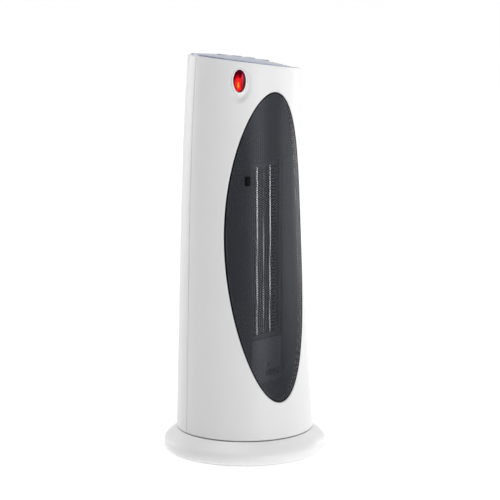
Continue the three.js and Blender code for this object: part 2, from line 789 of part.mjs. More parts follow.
function makeOutletFunnel() {
  const centre = (baffleLow + baffleHigh) / 2;
  const y = baffleFront + sheet / 2;
  const plate = boxAt(0, y, centre, 2 * baffleHalfWidth, sheet, baffleHigh - baffleLow);
  const windowCentre = (heaterLow + heaterHigh) / 2;
  const windowHeight = heaterHigh - heaterLow + 2 * windowMargin;
  const opening = boxAt(0, y, windowCentre, 2 * windowHalfWidth, 3 * sheet, windowHeight);
  const cutoutPort = boxAt(12, y, 91, 20, 3 * sheet, 8);
  const screwPort = boxAt(4, y, 100, 7, 3 * sheet, 4);
  const baffle = cut(plate, opening, cutoutPort, screwPort);
  baffle.rotateZ(degrees(heaterTurn));
  baffle.translate(...heaterPlace.toArray());
  add(head, 'outlet_funnel', join(funnelFlange(), baffle), materials.blackPlastic);
}

// ---- Blower ----

function makeImpeller() {
  const { x, y } = fanOffset;
  const disc = 1.5;
  const levels = [fanLow, (fanLow + fanHigh - disc) / 2, fanHigh - disc];
  const discs = levels.map((z) => cylinder(fanRadius, z, z + disc, x, y, 20));
  const bladeRoot = 17.5;
  const blades = [];
  for (let i = 0; i < fanBlades; i += 1) {
    const angle = fullTurn * i / fanBlades;
    const outline = [];
    const back = [];
    [0, 0.5, 1].forEach((t) => {
      const r = bladeRoot + t * (fanRadius - 0.6 - bladeRoot);
      const lead = angle + 0.28 * t * t;
      outline.push(new THREE.Vector2(x + r * Math.cos(lead), y + r * Math.sin(lead)));
      const trail = lead - 0.8 / r;
      back.unshift(new THREE.Vector2(x + r * Math.cos(trail), y + r * Math.sin(trail)));
    });
    blades.push(prism([...outline.reverse(), ...back.reverse()], fanLow + 0.5, fanHigh - 0.5));
  }
  const hubs = [cylinder(6, fanLow, fanLow + 12, x, y, 12), cylinder(6, fanHigh - 10, fanHigh, x, y, 12)];
  const bore = cylinder(shaftRadius + gap, 0, 400, x, y, 16);
  add(heaterFrame, 'impeller', cut(join(...discs, ...hubs, ...blades), bore), materials.blackPlastic);
  add(heaterFrame, 'fan_shaft', cylinder(shaftRadius, 78, 329, x, y, 16), materials.steel);
  const rotor = cut(cylinder(14, motorLow - 1, motorHigh + 1, x, y), bore);
  add(heaterFrame, 'motor_rotor', rotor, materials.lamination);
}

function blowerPlate(low, high) {
  const { x, y } = fanOffset;
  const disc = cylinder(36, low, high, x, y, 32);
  const mouth = box(new THREE.Vector3(-22, blowerFront, low), new THREE.Vector3(22, y, high));
  const element = box(new THREE.Vector3(-60, -60, low - 5), new THREE.Vector3(60, blowerFront, high + 5));
  return cut(join(disc, mouth), element, cylinder(7, 0, 400, x, y, 20));
}

// Spiral wall that opens from the back of the impeller towards the element.
function scrollWall(low, high) {
  const { x, y } = fanOffset;
  const steps = 10;
  const widest = fanRadius + 10;
  const arc = Array.from({ length: steps + 1 }, (_, i) => {
    const share = i / steps;
    return { radius: widest - 7 * share, angle: degrees(-6 + 140 * share) };
  });
  const at = (radius, angle) => new THREE.Vector2(x + radius * Math.cos(angle), y + radius * Math.sin(angle));
  const outer = arc.map(({ radius, angle }) => at(radius + sheet, angle));
  const inner = arc.map(({ radius, angle }) => at(radius, angle)).reverse();
  const mouth = 20.4;
  const start = [mouth, mouth + sheet].map((u) => new THREE.Vector2(u, blowerFront));
  return prism([...start, ...outer, ...inner], low, high);
}

// Tongue on the other side of the outlet, which parts the outgoing air from the intake.
function tongueWall(low, high) {
  const outline = [
    [-20.5, blowerFront], [-22.4, 23.2], [-28, 26.8], [-34, 27],
    [-34, 25.4], [-28.5, 25.2], [-24, 22.2], [-22, blowerFront],
  ];
  return prism(outline.map(([u, v]) => new THREE.Vector2(u, v)), low, high);
}

function makeBlowerHousing() {
  const low = fanLow - 2;
  const high = fanHigh + 2;
  const housing = join(blowerPlate(low - 3, low), scrollWall(low - 1, high), tongueWall(low - 1, high));
  add(heaterFrame, 'blower_housing', housing, materials.blackPlastic);
  add(heaterFrame, 'blower_roof', blowerPlate(high + gap, high + gap + 3), materials.blackPlastic);
}

function makeTopBush() {
  const { x, y } = fanOffset;
  const low = fanHigh + 2 + gap;
  const bush = revolve([
    [shaftRadius + gap, low], [6.6, low], [6.6, low + 3 + gap], [10, low + 3 + gap],
    [10, low + 5.4], [6, low + 8], [shaftRadius + gap, low + 8], [shaftRadius + gap, low],
  ], 12);
  bush.translate(x, y, 0);
  add(heaterFrame, 'top_bush', bush, materials.rubber);
}

function makeFanMotor() {
  const { x, y } = fanOffset;
  const core = boxAt(x, y, (motorLow + motorHigh) / 2, 58, 46, motorHigh - motorLow);
  const bore = cylinder(14.5, 0, 400, x, y);
  const coilSlot = boxAt(x - 21, y, (motorLow + motorHigh) / 2, 7, 30, 60);
  add(heaterFrame, 'motor_core', cut(core, bore, coilSlot), materials.lamination);
  const winding = boxAt(x - 28, y, (motorLow + motorHigh) / 2, 19, 28, motorHigh - motorLow + 14);
  const coreLeg = boxAt(x - 27.9, y, (motorLow + motorHigh) / 2, 7.4, 60, motorHigh - motorLow + 2 * gap);
  add(heaterFrame, 'motor_coil', cut(winding, coreLeg), materials.coilTape);
  const shaftHole = cylinder(shaftRadius + gap, 0, 400, x, y, 12);
  // Each bridge spans the core: a strap on two legs, with a cup for the bearing.
  const bridge = (name, z, way) => {
    const layer = (from, to) => [z + way * from, z + way * to].sort((p, q) => p - q);
    const block = (side, width, depth, [low, high]) => {
      return boxAt(x, y + side, (low + high) / 2, width, depth, high - low);
    };
    const strap = block(0, 16, 44, layer(5, 7));
    const legs = [-20.5, 20.5].map((side) => block(side, 14, 3, layer(0, 6)));
    const cup = cylinder(6.5, ...layer(3, 10), x, y, 12);
    add(heaterFrame, name, cut(join(strap, ...legs, cup), shaftHole), materials.steel);
  };
  bridge('motor_bridge_top', motorHigh + gap, 1);
  bridge('motor_bridge_bottom', motorLow - gap, -1);
}

// ---- Swing drive and wiring in the head ----

function makeSwingDrive() {
  const canRadius = 24.5;
  const low = floorHigh + gap;
  const can = cylinder(canRadius, low, low + 16, 0, gearDistance, 32);
  const ears = boxAt(0, gearDistance, low + 1, 64, 9, 2);
  const socket = cylinder(3.2, 0, low + 5, 0, gearDistance, 16);
  add(head, 'swing_motor', cut(join(can, ears), socket), materials.steel);
  const spacing = fullTurn / pinionTeeth;
  const points = [];
  for (let i = 0; i < pinionTeeth; i += 1) {
    points.push(...toothPoints(pinionTeeth, -Math.PI / 2 + (i + 0.5) * spacing));
  }
  const gear = prism(points, gearLow, gearHigh + 0.5);
  const spindle = cylinder(shaftRadius, gearHigh, low + 4, 0, 0, 16);
  const pinion = join(gear, spindle);
  pinion.translate(0, gearDistance, 0);
  add(head, 'swing_pinion', pinion, materials.acetal);
}

function makeWireLoom() {
  const stops = [
    [0, 0, 37], [14, -6, 45], [34, 2, 66], [41, 14, 120],
    [41, 16, 240], [38, 12, 360], [28, 5, 398], [22, 2, 404],
  ];
  const route = new THREE.CatmullRomCurve3(stops.map((stop) => new THREE.Vector3(...stop)));
  const section = new THREE.Shape(ellipsePoints(2.6, 2.6, 0, 0, 6));
  const loom = new THREE.ExtrudeGeometry(section, { steps: 26, extrudePath: route });
  add(head, 'wire_loom', loom, materials.cableSleeve);
}

makeBaseCover();
makeBasePlate();
makeFeet();
makeBaseScrews();
makePivotPost();
makeSlideRing();
makeGearSector();
makeTipSwitch();
makeCordInlet();
makeFrontShell();
makeRearShell();
makeShellScrews();
makeGripCup();
makeIntakeScreen();
makeFloorPlate();
makeGrille();
makeIndicator();
makeControlPanel();
makeButton('button_power', powerButton, materials.darkButton);
smallButtons.forEach((place) => makeButton(place.name, place, materials.buttonPlastic));
makeControlBoard();
makeElementHolders();
makeElementBars();
makeFins();
makeThermalCutout();
makeOutletFunnel();
makeImpeller();
makeBlowerHousing();
makeTopBush();
makeFanMotor();
makeSwingDrive();
makeWireLoom();

export default heater;
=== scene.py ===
# Looks of the oscillating ceramic tower heater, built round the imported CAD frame. Metres, +Z up, front at -Y.
import json
import math

import bmesh
import bpy
import numpy as np
from mathutils import Matrix, Vector


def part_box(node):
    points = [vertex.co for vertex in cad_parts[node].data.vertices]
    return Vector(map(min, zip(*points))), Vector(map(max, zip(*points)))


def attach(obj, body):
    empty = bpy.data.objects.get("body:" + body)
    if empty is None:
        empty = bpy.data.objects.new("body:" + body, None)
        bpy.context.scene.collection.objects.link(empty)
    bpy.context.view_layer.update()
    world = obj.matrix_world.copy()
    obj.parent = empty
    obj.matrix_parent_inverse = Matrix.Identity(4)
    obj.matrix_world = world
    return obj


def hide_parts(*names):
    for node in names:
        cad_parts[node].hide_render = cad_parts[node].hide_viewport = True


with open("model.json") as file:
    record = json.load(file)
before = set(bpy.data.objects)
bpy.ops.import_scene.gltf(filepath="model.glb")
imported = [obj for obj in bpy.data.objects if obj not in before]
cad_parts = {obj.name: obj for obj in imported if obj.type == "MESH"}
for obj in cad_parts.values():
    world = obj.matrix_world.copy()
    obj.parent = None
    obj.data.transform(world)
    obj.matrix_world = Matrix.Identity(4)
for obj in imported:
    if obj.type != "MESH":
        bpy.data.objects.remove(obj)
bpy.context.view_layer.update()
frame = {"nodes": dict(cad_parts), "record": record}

# ---- Sizes ----

MM = 0.001
GAP = 0.3 * MM
WALL = 2.5 * MM  # moulded shells
SHEET = 1.5 * MM  # thin inner mouldings

# The head's skin: round sections that taper upwards and bow towards the back.
BODY_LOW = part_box("front_shell")[0].z
BODY_HIGH = 428 * MM
BODY_RADII = (75.6 * MM, 65.2 * MM, 61.4 * MM)
BOW_DEPTHS = (0, 6.2 * MM, 13.3 * MM, 0.5 * MM)
RIM_FALL = 0.145  # the top rim falls towards +X
RIM_SLOPE = math.atan(RIM_FALL)

SHELL_EDGE = math.radians(89.72)  # the shells part here, on both sides
EDGE_ROUND = 0.4 * MM  # rounding of the shells' edges
FRONT_UNROLL = 69 * MM  # mean radius that the front shell is unrolled on
BACK_UNROLL = 68 * MM

# Oval outlet
OVAL_WIDTH = 50 * MM  # half sizes
OVAL_HEIGHT = 168 * MM
OVAL_CENTRE = 232 * MM

# Heating element, turned towards +X
ELEMENT_TURN = math.radians(15)
ELEMENT_PLACE = Vector((-3 * MM, -33 * MM, 0))
ELEMENT_LOW = 135 * MM
ELEMENT_HIGH = 319 * MM
ELEMENT_DEPTH = 14 * MM
BAR_OFFSET = 10.5 * MM
BAR_HALF = 1.15 * MM
BAFFLE_FRONT = -10.3 * MM
BAFFLE_WIDTH = 25.3 * MM  # half
BAFFLE_LOW = 80 * MM
BAFFLE_HIGH = 326 * MM
WINDOW_WIDTH = 20.7 * MM  # half
WINDOW_MARGIN = 3.4 * MM

# Control panel, in the plane of the top rim
CROWN_HEIGHT = 6 * MM
CROWN_RADIUS = 70 * MM
CROWN_X = -10 * MM
PANEL_DIP = 1.1 * MM  # below the rim, at the crown's own edge
PANEL_THICKNESS = 2.4 * MM
BUTTON_PROUD = 0.4 * MM
BUTTON_DISH = 0.35 * MM
BUTTON_ROUND = 0.9 * MM
BUTTON_TAIL = -9.5 * MM
BUTTONS = {
    "button_power": (21 * MM, -2 * MM, 8 * MM),
    "button_mode": (2 * MM, -7 * MM, 5.5 * MM),
    "button_swing": (-14 * MM, -6 * MM, 5.5 * MM),
    "button_timer": (-29 * MM, 1 * MM, 5.5 * MM),
}

# Indicator lens
LENS_ANGLE = math.radians(-37)  # from the front, towards -X
LENS_HEIGHT = 413 * MM
LENS_HALF = (6.5 * MM, 12 * MM)
BEZEL_HALF = (8.3 * MM, 13.8 * MM)
LENS_GAP = 0.12 * MM
DISH_HALF = (12.2 * MM, 19.5 * MM)  # soft hollow round the lens
DISH_DEPTH = 1.5 * MM
DISH_RIGHT = 0.9 * MM
DISH_DOWN = 2.2 * MM

# Back of the head
SLOT_LOW = 130 * MM
SLOT_PITCH = 15 * MM
SLOT_ROWS = 14
SLOT_HALF = (21 * MM, 3.5 * MM)
SLOT_COLUMNS = (-24 * MM, 24 * MM)
GRIP_HALF = (38 * MM, 14 * MM)
GRIP_HEIGHT = 372 * MM
GRIP_FLOOR = 40 * MM
SHELL_SCREWS = ((56 * MM, 48 * MM), (-56 * MM, 48 * MM), (50 * MM, 385 * MM), (-50 * MM, 385 * MM))

# Base
BASE_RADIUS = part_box("base_cover")[1].x
INLET_HEIGHT = 10 * MM
INLET_RADIUS = 5.3 * MM

# Camera and light
CAMERA_AZIMUTH = math.radians(-33)
CAMERA_DISTANCE = 2.4036  # along the floor
CAMERA_HEIGHT = 0.662
CAMERA_SIDESTEP = 0.0058
CAMERA_PITCH = math.radians(10.4)
CAMERA_LENS = 160.5
SENSOR = 36
DIM_AZIMUTH = -65  # degrees from the front; the surround is dimmer on this side
SURROUND_BRIGHT = 0.64
SURROUND_DIM = 0.0
SURROUND_SPAN = (-0.1, 0.85)  # cosines from the dim side between which it falls
FLOOR_GLOW = (0.42, 0.57)  # near the heater, and far from it
FLOOR_GLOW_REACH = (0.3, 2.2)
LIGHT_TARGET = Vector((0, 0, 0.22))
# Lights: azimuth from the front, height, distance, width, height of the panel, watts
LIGHTS = {
    "front": (0, 0.5, 2.2, 0.8, 0.8, 11),
    "side": (100, 0.4, 2.0, 0.8, 0.8, 4.5),
    "edge": (-160, 0.6, 2.0, 0.8, 1.2, 7),
    "top": (-115, 2.7, 0.5, 1.3, 1.3, 22),
    "glint": (62, 0.12, 1.3, 0.4, 0.2, 0.6),
}

# ---- Node materials ----


class Nodes:
    """Builds the node tree of a new material or world from short calls."""

    def __init__(self, name, owners=bpy.data.materials):
        self.owner = owners.new(name)
        self.owner.use_nodes = True
        self.tree = self.owner.node_tree
        self.shader = self.tree.nodes.get("Principled BSDF")
        self.coordinates = self.add("ShaderNodeTexCoord").outputs

    def add(self, kind, inputs=None, **values):
        """New node with its settings. Inputs are numbers, colours or outputs of other nodes."""
        node = self.tree.nodes.new(kind)
        for key, value in values.items():
            setattr(node, key, value)
        for key, value in (inputs or {}).items():
            self.feed(node.inputs[key], value)
        return node

    def feed(self, socket, value):
        if isinstance(value, bpy.types.NodeSocket):
            self.tree.links.new(value, socket)
        else:
            socket.default_value = value

    def set(self, **values):
        """Feeds the shader's sockets, whose names have spaces in place of underscores."""
        for key, value in values.items():
            self.feed(self.shader.inputs[key.replace("_", " ")], value)

    def noise(self, size, detail=2.0, stretch=(1, 1, 1), roughness=0.5):
        scale = [s / size for s in stretch]
        mapping = self.add("ShaderNodeMapping", {"Vector": self.coordinates["Object"], "Scale": scale})
        inputs = {"Vector": mapping.outputs["Vector"], "Scale": 1, "Detail": detail, "Roughness": roughness}
        return self.add("ShaderNodeTexNoise", inputs).outputs["Fac"]

    def ramp(self, factor, *stops):
        node = self.add("ShaderNodeValToRGB", {"Fac": factor})
        elements = node.color_ramp.elements
        while len(elements) < len(stops):
            elements.new(0.5)
        for element, (position, color) in zip(elements, stops):
            element.position = position
            element.color = (*color, 1)
        return node.outputs["Color"]

    def spread(self, factor, low, high, span=(0, 1), kind="LINEAR"):
        """Maps a span of the factor to values from low to high."""
        sockets = ("Value", "From Min", "From Max", "To Min", "To Max")
        inputs = dict(zip(sockets, (factor, *span, low, high)))
        return self.add("ShaderNodeMapRange", inputs, interpolation_type=kind).outputs["Result"]

    def math(self, operation, *values):
        return self.add("ShaderNodeMath", dict(enumerate(values)), operation=operation).outputs["Value"]

    def drift(self, size, detail, low, high):
        """Slow drift of the base colour between two tones."""
        self.set(Base_Color=self.ramp(self.noise(size, detail), (0.3, low), (0.7, high)))

    def grain(self, texture, roughness, swing, relief):
        """Uneven gloss and fine relief from one texture."""
        rough = self.spread(texture, roughness * (1 - swing), roughness * (1 + swing))
        bump = self.add("ShaderNodeBump", {"Strength": relief, "Distance": 0.1 * MM, "Height": texture})
        self.set(Roughness=rough, Normal=bump.outputs["Normal"])


FINISHES = {}  # by material slot or finish name


def shade(color, share):
    return tuple(min(1, value * share) for value in color)


def moulded(name, color, roughness, grain=0.5 * MM, relief=0.02, drift=0.03, coat=0.0, specular=0.5,
            tint=(1, 1, 1, 1)):
    """Moulded plastic or rubber: fine grain, a slow drift of colour and uneven gloss."""
    nodes = Nodes(name)
    nodes.drift(40 * MM, 3, shade(color, 1 - drift), shade(color, 1 + drift))
    nodes.grain(nodes.noise(grain), roughness, 0.12, relief)
    nodes.set(Specular_IOR_Level=specular, Specular_Tint=tint, Coat_Weight=coat, Coat_Roughness=0.12)
    FINISHES[name] = nodes.owner


def metal(name, color, roughness, brush=(1, 1, 12), relief=0.05):
    """Metal with fine draw lines and a little uneven tarnish."""
    nodes = Nodes(name)
    nodes.drift(12 * MM, 4, shade(color, 0.9), shade(color, 1.1))
    lines = nodes.noise(0.4 * MM, 3, [1 / stretch for stretch in brush])
    nodes.grain(lines, roughness, 0.2, relief)
    nodes.set(Metallic=1.0)
    FINISHES[name] = nodes.owner


def lens_glow(name):
    """Red lens over a lamp: dark at the upper edge, with a flame-shaped glow in its lower half."""
    nodes = Nodes(name)
    calc = nodes.math
    axes = nodes.add("ShaderNodeSeparateXYZ", {"Vector": nodes.coordinates["Object"]})
    flicker = nodes.noise(3 * MM, 3, (1.6, 0.45, 1), 0.6)
    sway = calc("SUBTRACT", flicker, 0.5)
    across = calc("DIVIDE", axes.outputs["X"], LENS_HALF[0])
    along = calc("DIVIDE", axes.outputs["Y"], LENS_HALF[1])

    # Distance from the flame's foot, which grows towards the rim
    offset = calc("ADD", calc("MULTIPLY", calc("ADD", across, sway), 1.15), 0.25)
    rise = calc("MULTIPLY", calc("ADD", calc("ADD", along, 0.42), sway), 0.85)
    squares = calc("ADD", calc("POWER", offset, 2), calc("POWER", rise, 2))
    radius = calc("ADD", calc("POWER", across, 2), calc("POWER", along, 2))
    rim_shade = calc("MULTIPLY", calc("POWER", radius, 3), 0.4)
    reach = calc("ADD", calc("SQRT", squares), rim_shade)

    # Painted highlight: a bright band right of the middle, pink near its upper end, which also brightens the
    # glow along it
    beside = calc("ABSOLUTE", calc("SUBTRACT", across, 0.48))
    painted_highlight = calc("MAXIMUM", calc("SUBTRACT", 1.0, calc("MULTIPLY", beside, 6.0)), 0.0)
    reach = calc("SUBTRACT", reach, calc("MULTIPLY", painted_highlight, 0.2))
    from_high = calc("ABSOLUTE", calc("MULTIPLY", calc("SUBTRACT", along, 0.25), 1.8))
    high = calc("MAXIMUM", calc("SUBTRACT", 1.0, from_high), 0.0)
    glow = nodes.ramp(
        reach,
        (0.0, (1.0, 0.42, 0.02)),
        (0.14, (1.0, 0.16, 0.004)),
        (0.28, (0.72, 0.012, 0.003)),
        (0.66, (0.46, 0.001, 0.006)),
        (1.0, (0.06, 0.0, 0.003)),
    )
    # Pink painted highlight added to the glow near the band's upper end
    pink = {"Factor": calc("MULTIPLY", painted_highlight, high), "A": glow, "B": (0.75, 0.03, 0.1, 1)}
    color = nodes.add("ShaderNodeMix", pink, data_type="RGBA", blend_type="ADD").outputs["Result"]
    nodes.set(Base_Color=color, Emission_Color=color, Emission_Strength=nodes.spread(reach, 1.0, 0.5))
    nodes.set(Roughness=0.1, Specular_IOR_Level=0.12)
    FINISHES[name] = nodes.owner


moulded("white_plastic", (0.8, 0.8, 0.8), 0.36, relief=0.012, drift=0.006)
moulded("black_liner", (0.034, 0.033, 0.044), 0.5, relief=0.05, drift=0.08, specular=0.3)
# Lighter copy of the black liner for the cover below the element: its extra lightness is painted light entering
# from below
moulded("liner_painted_lighter", (0.12, 0.112, 0.14), 0.5, relief=0.05, drift=0.08, specular=0.3)
moulded("dark_block", (0.004, 0.004, 0.005), 0.7, specular=0.1)
# Brighter copy of the white plastic for the base: its extra brightness is painted light
moulded("base_white_painted_brighter", (0.9, 0.9, 0.9), 0.36, relief=0.012, drift=0.006)
# Brighter, glossier copy of the white plastic for the lens ring: its extra brightness is painted light
moulded("bezel_white_painted_brighter", (0.95, 0.95, 0.95), 0.25, relief=0.006, drift=0.006)
# Grey panel plastic whose blue tint is a painted reflection of bluish light from above
moulded("panel_plastic", (0.36, 0.415, 0.58), 0.2, relief=0.01, coat=0.5)
moulded("button_plastic", (0.42, 0.46, 0.54), 0.3)
moulded("dark_button", (0.1, 0.115, 0.15), 0.3)
moulded("black_plastic", (0.05, 0.053, 0.06), 0.5, relief=0.06, drift=0.08)
moulded("mesh_paint", (0.015, 0.017, 0.025), 0.33, 0.25 * MM, 0.08, 0.1, specular=0.65,
        tint=(0.86, 0.92, 1, 1))
lens_glow("red_lens")
metal("aluminium", (0.92, 0.93, 0.94), 0.26)
metal("fin_aluminium", (0.23, 0.23, 0.18), 0.42)
metal("steel", (0.45, 0.46, 0.48), 0.34, brush=(1, 1, 1))
metal("lamination", (0.16, 0.17, 0.18), 0.5, brush=(14, 14, 0.6), relief=0.3)
moulded("coil_tape", (0.5, 0.36, 0.13), 0.5, 0.9 * MM, 0.2, 0.12)
moulded("acetal", (0.72, 0.68, 0.57), 0.4, relief=0.03)
moulded("rubber", (0.025, 0.025, 0.026), 0.8, 0.3 * MM, 0.15, 0.1, specular=0.3)
moulded("circuit_board", (0.035, 0.16, 0.07), 0.4, 1.6 * MM, 0.1, 0.2)
moulded("cable_sleeve", (0.02, 0.02, 0.02), 0.55, 0.8 * MM, 0.3, 0.1)

# ---- Skin of the head ----


def bezier(t, values):
    if len(values) == 1:
        return values[0] + 0 * t
    return (1 - t) * bezier(t, values[:-1]) + t * bezier(t, values[1:])


def body_radius(z):
    return bezier((z - BODY_LOW) / (BODY_HIGH - BODY_LOW), BODY_RADII)


def body_bow(z):
    return bezier((z - BODY_LOW) / (BODY_HIGH - BODY_LOW), BOW_DEPTHS)


def on_skin(angle, z, depth):
    """Points of the skin at angles from the front (towards +X), less a depth."""
    radius = body_radius(z) - depth
    return np.stack([radius * np.sin(angle), body_bow(z) - radius * np.cos(angle), z + 0 * angle], -1)


def skin_y(ring, side, depth=0.0):
    """Y of the skin at points (x, z), on the front (-1) or the back (+1), less a depth."""
    x, z = ring.T
    radius = body_radius(z) - depth
    return body_bow(z) + side * np.sqrt(np.maximum(radius**2 - x**2, 0))


def rim_height(angle):
    """Height of the sloping top rim at an angle from the front."""
    z = BODY_HIGH
    for _ in range(4):
        z = BODY_HIGH - RIM_FALL * body_radius(z) * np.sin(angle)
    return z


# ---- Mesh helpers ----


def add_object(name, data):
    obj = bpy.data.objects.new(name, data)
    bpy.context.scene.collection.objects.link(obj)
    return obj


def new_piece(name, part, finish, body="head", slot=None, matrix=None, replaces=None, own_axes=False,
              sharp=32):
    """One mesh object that rides on a body. The slot argument is not used.

    The part's points are in the matrix's frame, which the object keeps with own_axes.
    """
    if matrix is not None and not own_axes:
        part = moved(part, matrix)
    points, faces = part
    mesh = bpy.data.meshes.new(name)
    mesh.from_pydata(points.tolist(), [], faces)
    mesh.validate()
    obj = add_object(name, mesh)
    if own_axes:
        obj.matrix_world = matrix
    finish_mesh(obj, sharp)
    mesh.materials.append(FINISHES[finish])
    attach(obj, body)
    slot or finish
    if replaces:
        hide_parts(replaces)
    return obj


def finish_mesh(obj, sharp):
    """Outward faces, smooth up to the given angle in degrees."""
    mesh = obj.data
    work = bmesh.new()
    work.from_mesh(mesh)
    bmesh.ops.recalc_face_normals(work, faces=work.faces)
    if work.calc_volume(signed=True) < 0:
        bmesh.ops.reverse_faces(work, faces=work.faces)
    work.to_mesh(mesh)
    work.free()
    mesh.shade_smooth()
    mesh.set_sharp_from_angle(angle=math.radians(sharp))


def ring_faces(rows, columns, close_rows=True):
    """Quads of a grid whose columns wrap round, and whose rows may too."""
    i, j = np.meshgrid(np.arange(rows if close_rows else rows - 1), np.arange(columns), indexing="ij")
    below, next_j = (i + 1) % rows, (j + 1) % columns
    quads = [i * columns + j, i * columns + next_j, below * columns + next_j, below * columns + j]
    return np.stack(quads, -1).reshape(-1, 4)


def loft(rings, caps=False):
    """Points and faces through rings of equal length: a closed tube wall, or a capped body."""
    rings = [np.asarray(ring, float) for ring in rings]
    count = len(rings[0])
    faces = ring_faces(len(rings), count, not caps).tolist()
    if caps:
        faces.append(list(range(count)))
        faces.append([(len(rings) - 1) * count + j for j in range(count)])
    return np.concatenate(rings), faces


def fan(start, count, hub):
    """Triangles between a ring and the point at its middle."""
    return [[start + j, start + (j + 1) % count, hub] for j in range(count)]


def arc_steps(count=4):
    """Angles of a quarter turn."""
    return np.linspace(0, math.pi / 2, count + 1)


def rounding(radius, count=4):
    """Offsets from the two sides of a square corner along the quarter circle that rounds it."""
    return [(radius * (1 - math.cos(a)), radius * (1 - math.sin(a))) for a in arc_steps(count)]


def full_turn(count):
    return np.linspace(0, 2 * math.pi, count, endpoint=False)


def lifted(ring, z):
    """Flat points (x, y) put at a height."""
    return np.column_stack([ring, np.broadcast_to(z, len(ring))])


def upright(ring, y):
    """Upright points (x, z) put at a y."""
    return np.column_stack([ring[:, 0], np.broadcast_to(y, len(ring)), ring[:, 1]])


def middle(node):
    """Centre of a CAD node's box."""
    low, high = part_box(node)
    return (low + high) / 2


def filleted(outline, radius, steps=4):
    """Closed outline with its corners rounded by one radius, or by one for each corner."""
    points = []
    count = len(outline)
    radii = radius if isinstance(radius, list) else [radius] * count
    for k, (corner, own) in enumerate(zip(outline, radii)):
        here = Vector(corner)
        before = Vector(outline[k - 1]) - here
        after = Vector(outline[(k + 1) % count]) - here
        reach = min(own, 0.45 * before.length, 0.45 * after.length)
        if reach <= 0:
            points.append(here)
            continue
        start = here + before.normalized() * reach
        end = here + after.normalized() * reach
        for t in np.linspace(0, 1, steps + 1).tolist():
            points.append((1 - t) ** 2 * start + 2 * t * (1 - t) * here + t * t * end)
    return [(point.x, point.y) for point in points]


def revolve(profile, segments=96):
    """Solid of a profile of (radius, height) that starts and ends on the axis or closes on itself."""
    on_axis = profile[0][0] < 1e-9 and profile[-1][0] < 1e-9
    inner = profile[1:-1] if on_axis else profile
    rings = [lifted(oval(r, r, segments), z) for r, z in inner]
    points = np.concatenate(rings)
    faces = ring_faces(len(rings), segments, not on_axis).tolist()
    if on_axis:
        for row, z in ((0, profile[0][1]), (len(rings) - 1, profile[-1][1])):
            points = np.vstack([points, [0, 0, z]])
            faces += fan(row * segments, segments, len(points) - 1)
    return points, faces


def merged(*parts):
    """Several (points, faces) as one."""
    points, faces, start = [], [], 0
    for part_points, part_faces in parts:
        points.append(part_points)
        faces += [[start + index for index in face] for face in part_faces]
        start += len(part_points)
    return np.concatenate(points), faces


def moved(part, matrix):
    points, faces = part
    return points @ np.array(matrix.to_3x3()).T + np.array(matrix.translation), faces


def oval(half_width, half_height, count, centre=(0, 0)):
    turns = full_turn(count)
    return np.stack([centre[0] + half_width * np.cos(turns), centre[1] + half_height * np.sin(turns)], -1)


def rounded_rectangle(half_width, half_height, corner, centre=(0, 0), steps=8):
    points = []
    for quarter, (sx, sy) in enumerate(((1, 1), (-1, 1), (-1, -1), (1, -1))):
        for turn in arc_steps(steps) + quarter * math.pi / 2:
            x = sx * (half_width - corner) + corner * math.cos(turn)
            y = sy * (half_height - corner) + corner * math.sin(turn)
            points.append((centre[0] + x, centre[1] + y))
    return np.array(points)


def block(low, high, bevel=0.2 * MM):
    """Box with chamfered edges along Z and at its ends."""
    centre = [(a + b) / 2 for a, b in zip(low, high)]
    half = [(b - a) / 2 for a, b in zip(low, high)]
    rings = []
    for z, inset in ((-half[2], bevel), (-half[2] + bevel, 0), (half[2] - bevel, 0), (half[2], bevel)):
        ring = rounded_rectangle(half[0] - inset, half[1] - inset, bevel, centre[:2], 2)
        rings.append(lifted(ring, centre[2] + z))
    return loft(rings, caps=True)


def cut(obj, *parts):
    """Cuts closed shapes out of a piece."""
    mesh = bpy.data.meshes.new("cutter")
    points, faces = merged(*parts)
    mesh.from_pydata(points.tolist(), [], faces)
    cutter = add_object("cutter", mesh)
    finish_mesh(cutter, 30)
    modifier = obj.modifiers.new("cut", "BOOLEAN")
    modifier.operation = "DIFFERENCE"
    modifier.solver = "EXACT"
    modifier.object = cutter
    bpy.context.view_layer.update()
    evaluated = obj.evaluated_get(bpy.context.evaluated_depsgraph_get())
    result = bpy.data.meshes.new_from_object(evaluated)
    obj.modifiers.clear()
    name = obj.data.name
    obj.data.name = "spare"
    result.name = name
    obj.data = result
    bpy.data.objects.remove(cutter)
    result.shade_smooth()
    result.set_sharp_from_angle(angle=math.radians(32))


def triangulated(loops):
    """Flat triangles between an outer loop and the holes in it. Returns points and triangles."""
    work = bmesh.new()
    edges = []
    for loop in loops:
        corners = [work.verts.new((x, y, 0)) for x, y in loop.tolist()]
        edges += [work.edges.new((a, b)) for a, b in zip(corners, corners[1:] + corners[:1])]
    work.verts.index_update()
    bmesh.ops.triangle_fill(work, use_beauty=True, edges=edges)
    work.verts.index_update()
    points = np.array([vert.co[:2] for vert in work.verts])
    triangles = []
    for face in work.faces:
        ids = [vert.index for vert in face.verts]
        a, b, c = points[ids]
        turn = (b[0] - a[0]) * (c[1] - a[1]) - (b[1] - a[1]) * (c[0] - a[0])
        triangles.append(ids if turn > 0 else ids[::-1])
    work.free()
    return points, triangles


def sheet_solid(points, faces, place, front, back):
    """Sheet with thickness: place(points, depth) lays flat faces at two depths, and walls join the edges."""
    faces = np.asarray(faces)
    count, sides = len(points), faces.shape[1]
    directed = np.concatenate([faces[:, [k, (k + 1) % sides]] for k in range(sides)])
    keys = directed[:, 0].astype(np.int64) * count + directed[:, 1]
    reverse = directed[:, 1].astype(np.int64) * count + directed[:, 0]
    free = directed[~np.isin(keys, reverse)]
    walls = np.stack([free[:, 1], free[:, 0], free[:, 0] + count, free[:, 1] + count], -1)
    solid = np.concatenate([place(points, front), place(points, back)])
    return solid, faces.tolist() + (faces[:, ::-1] + count).tolist() + walls.tolist()


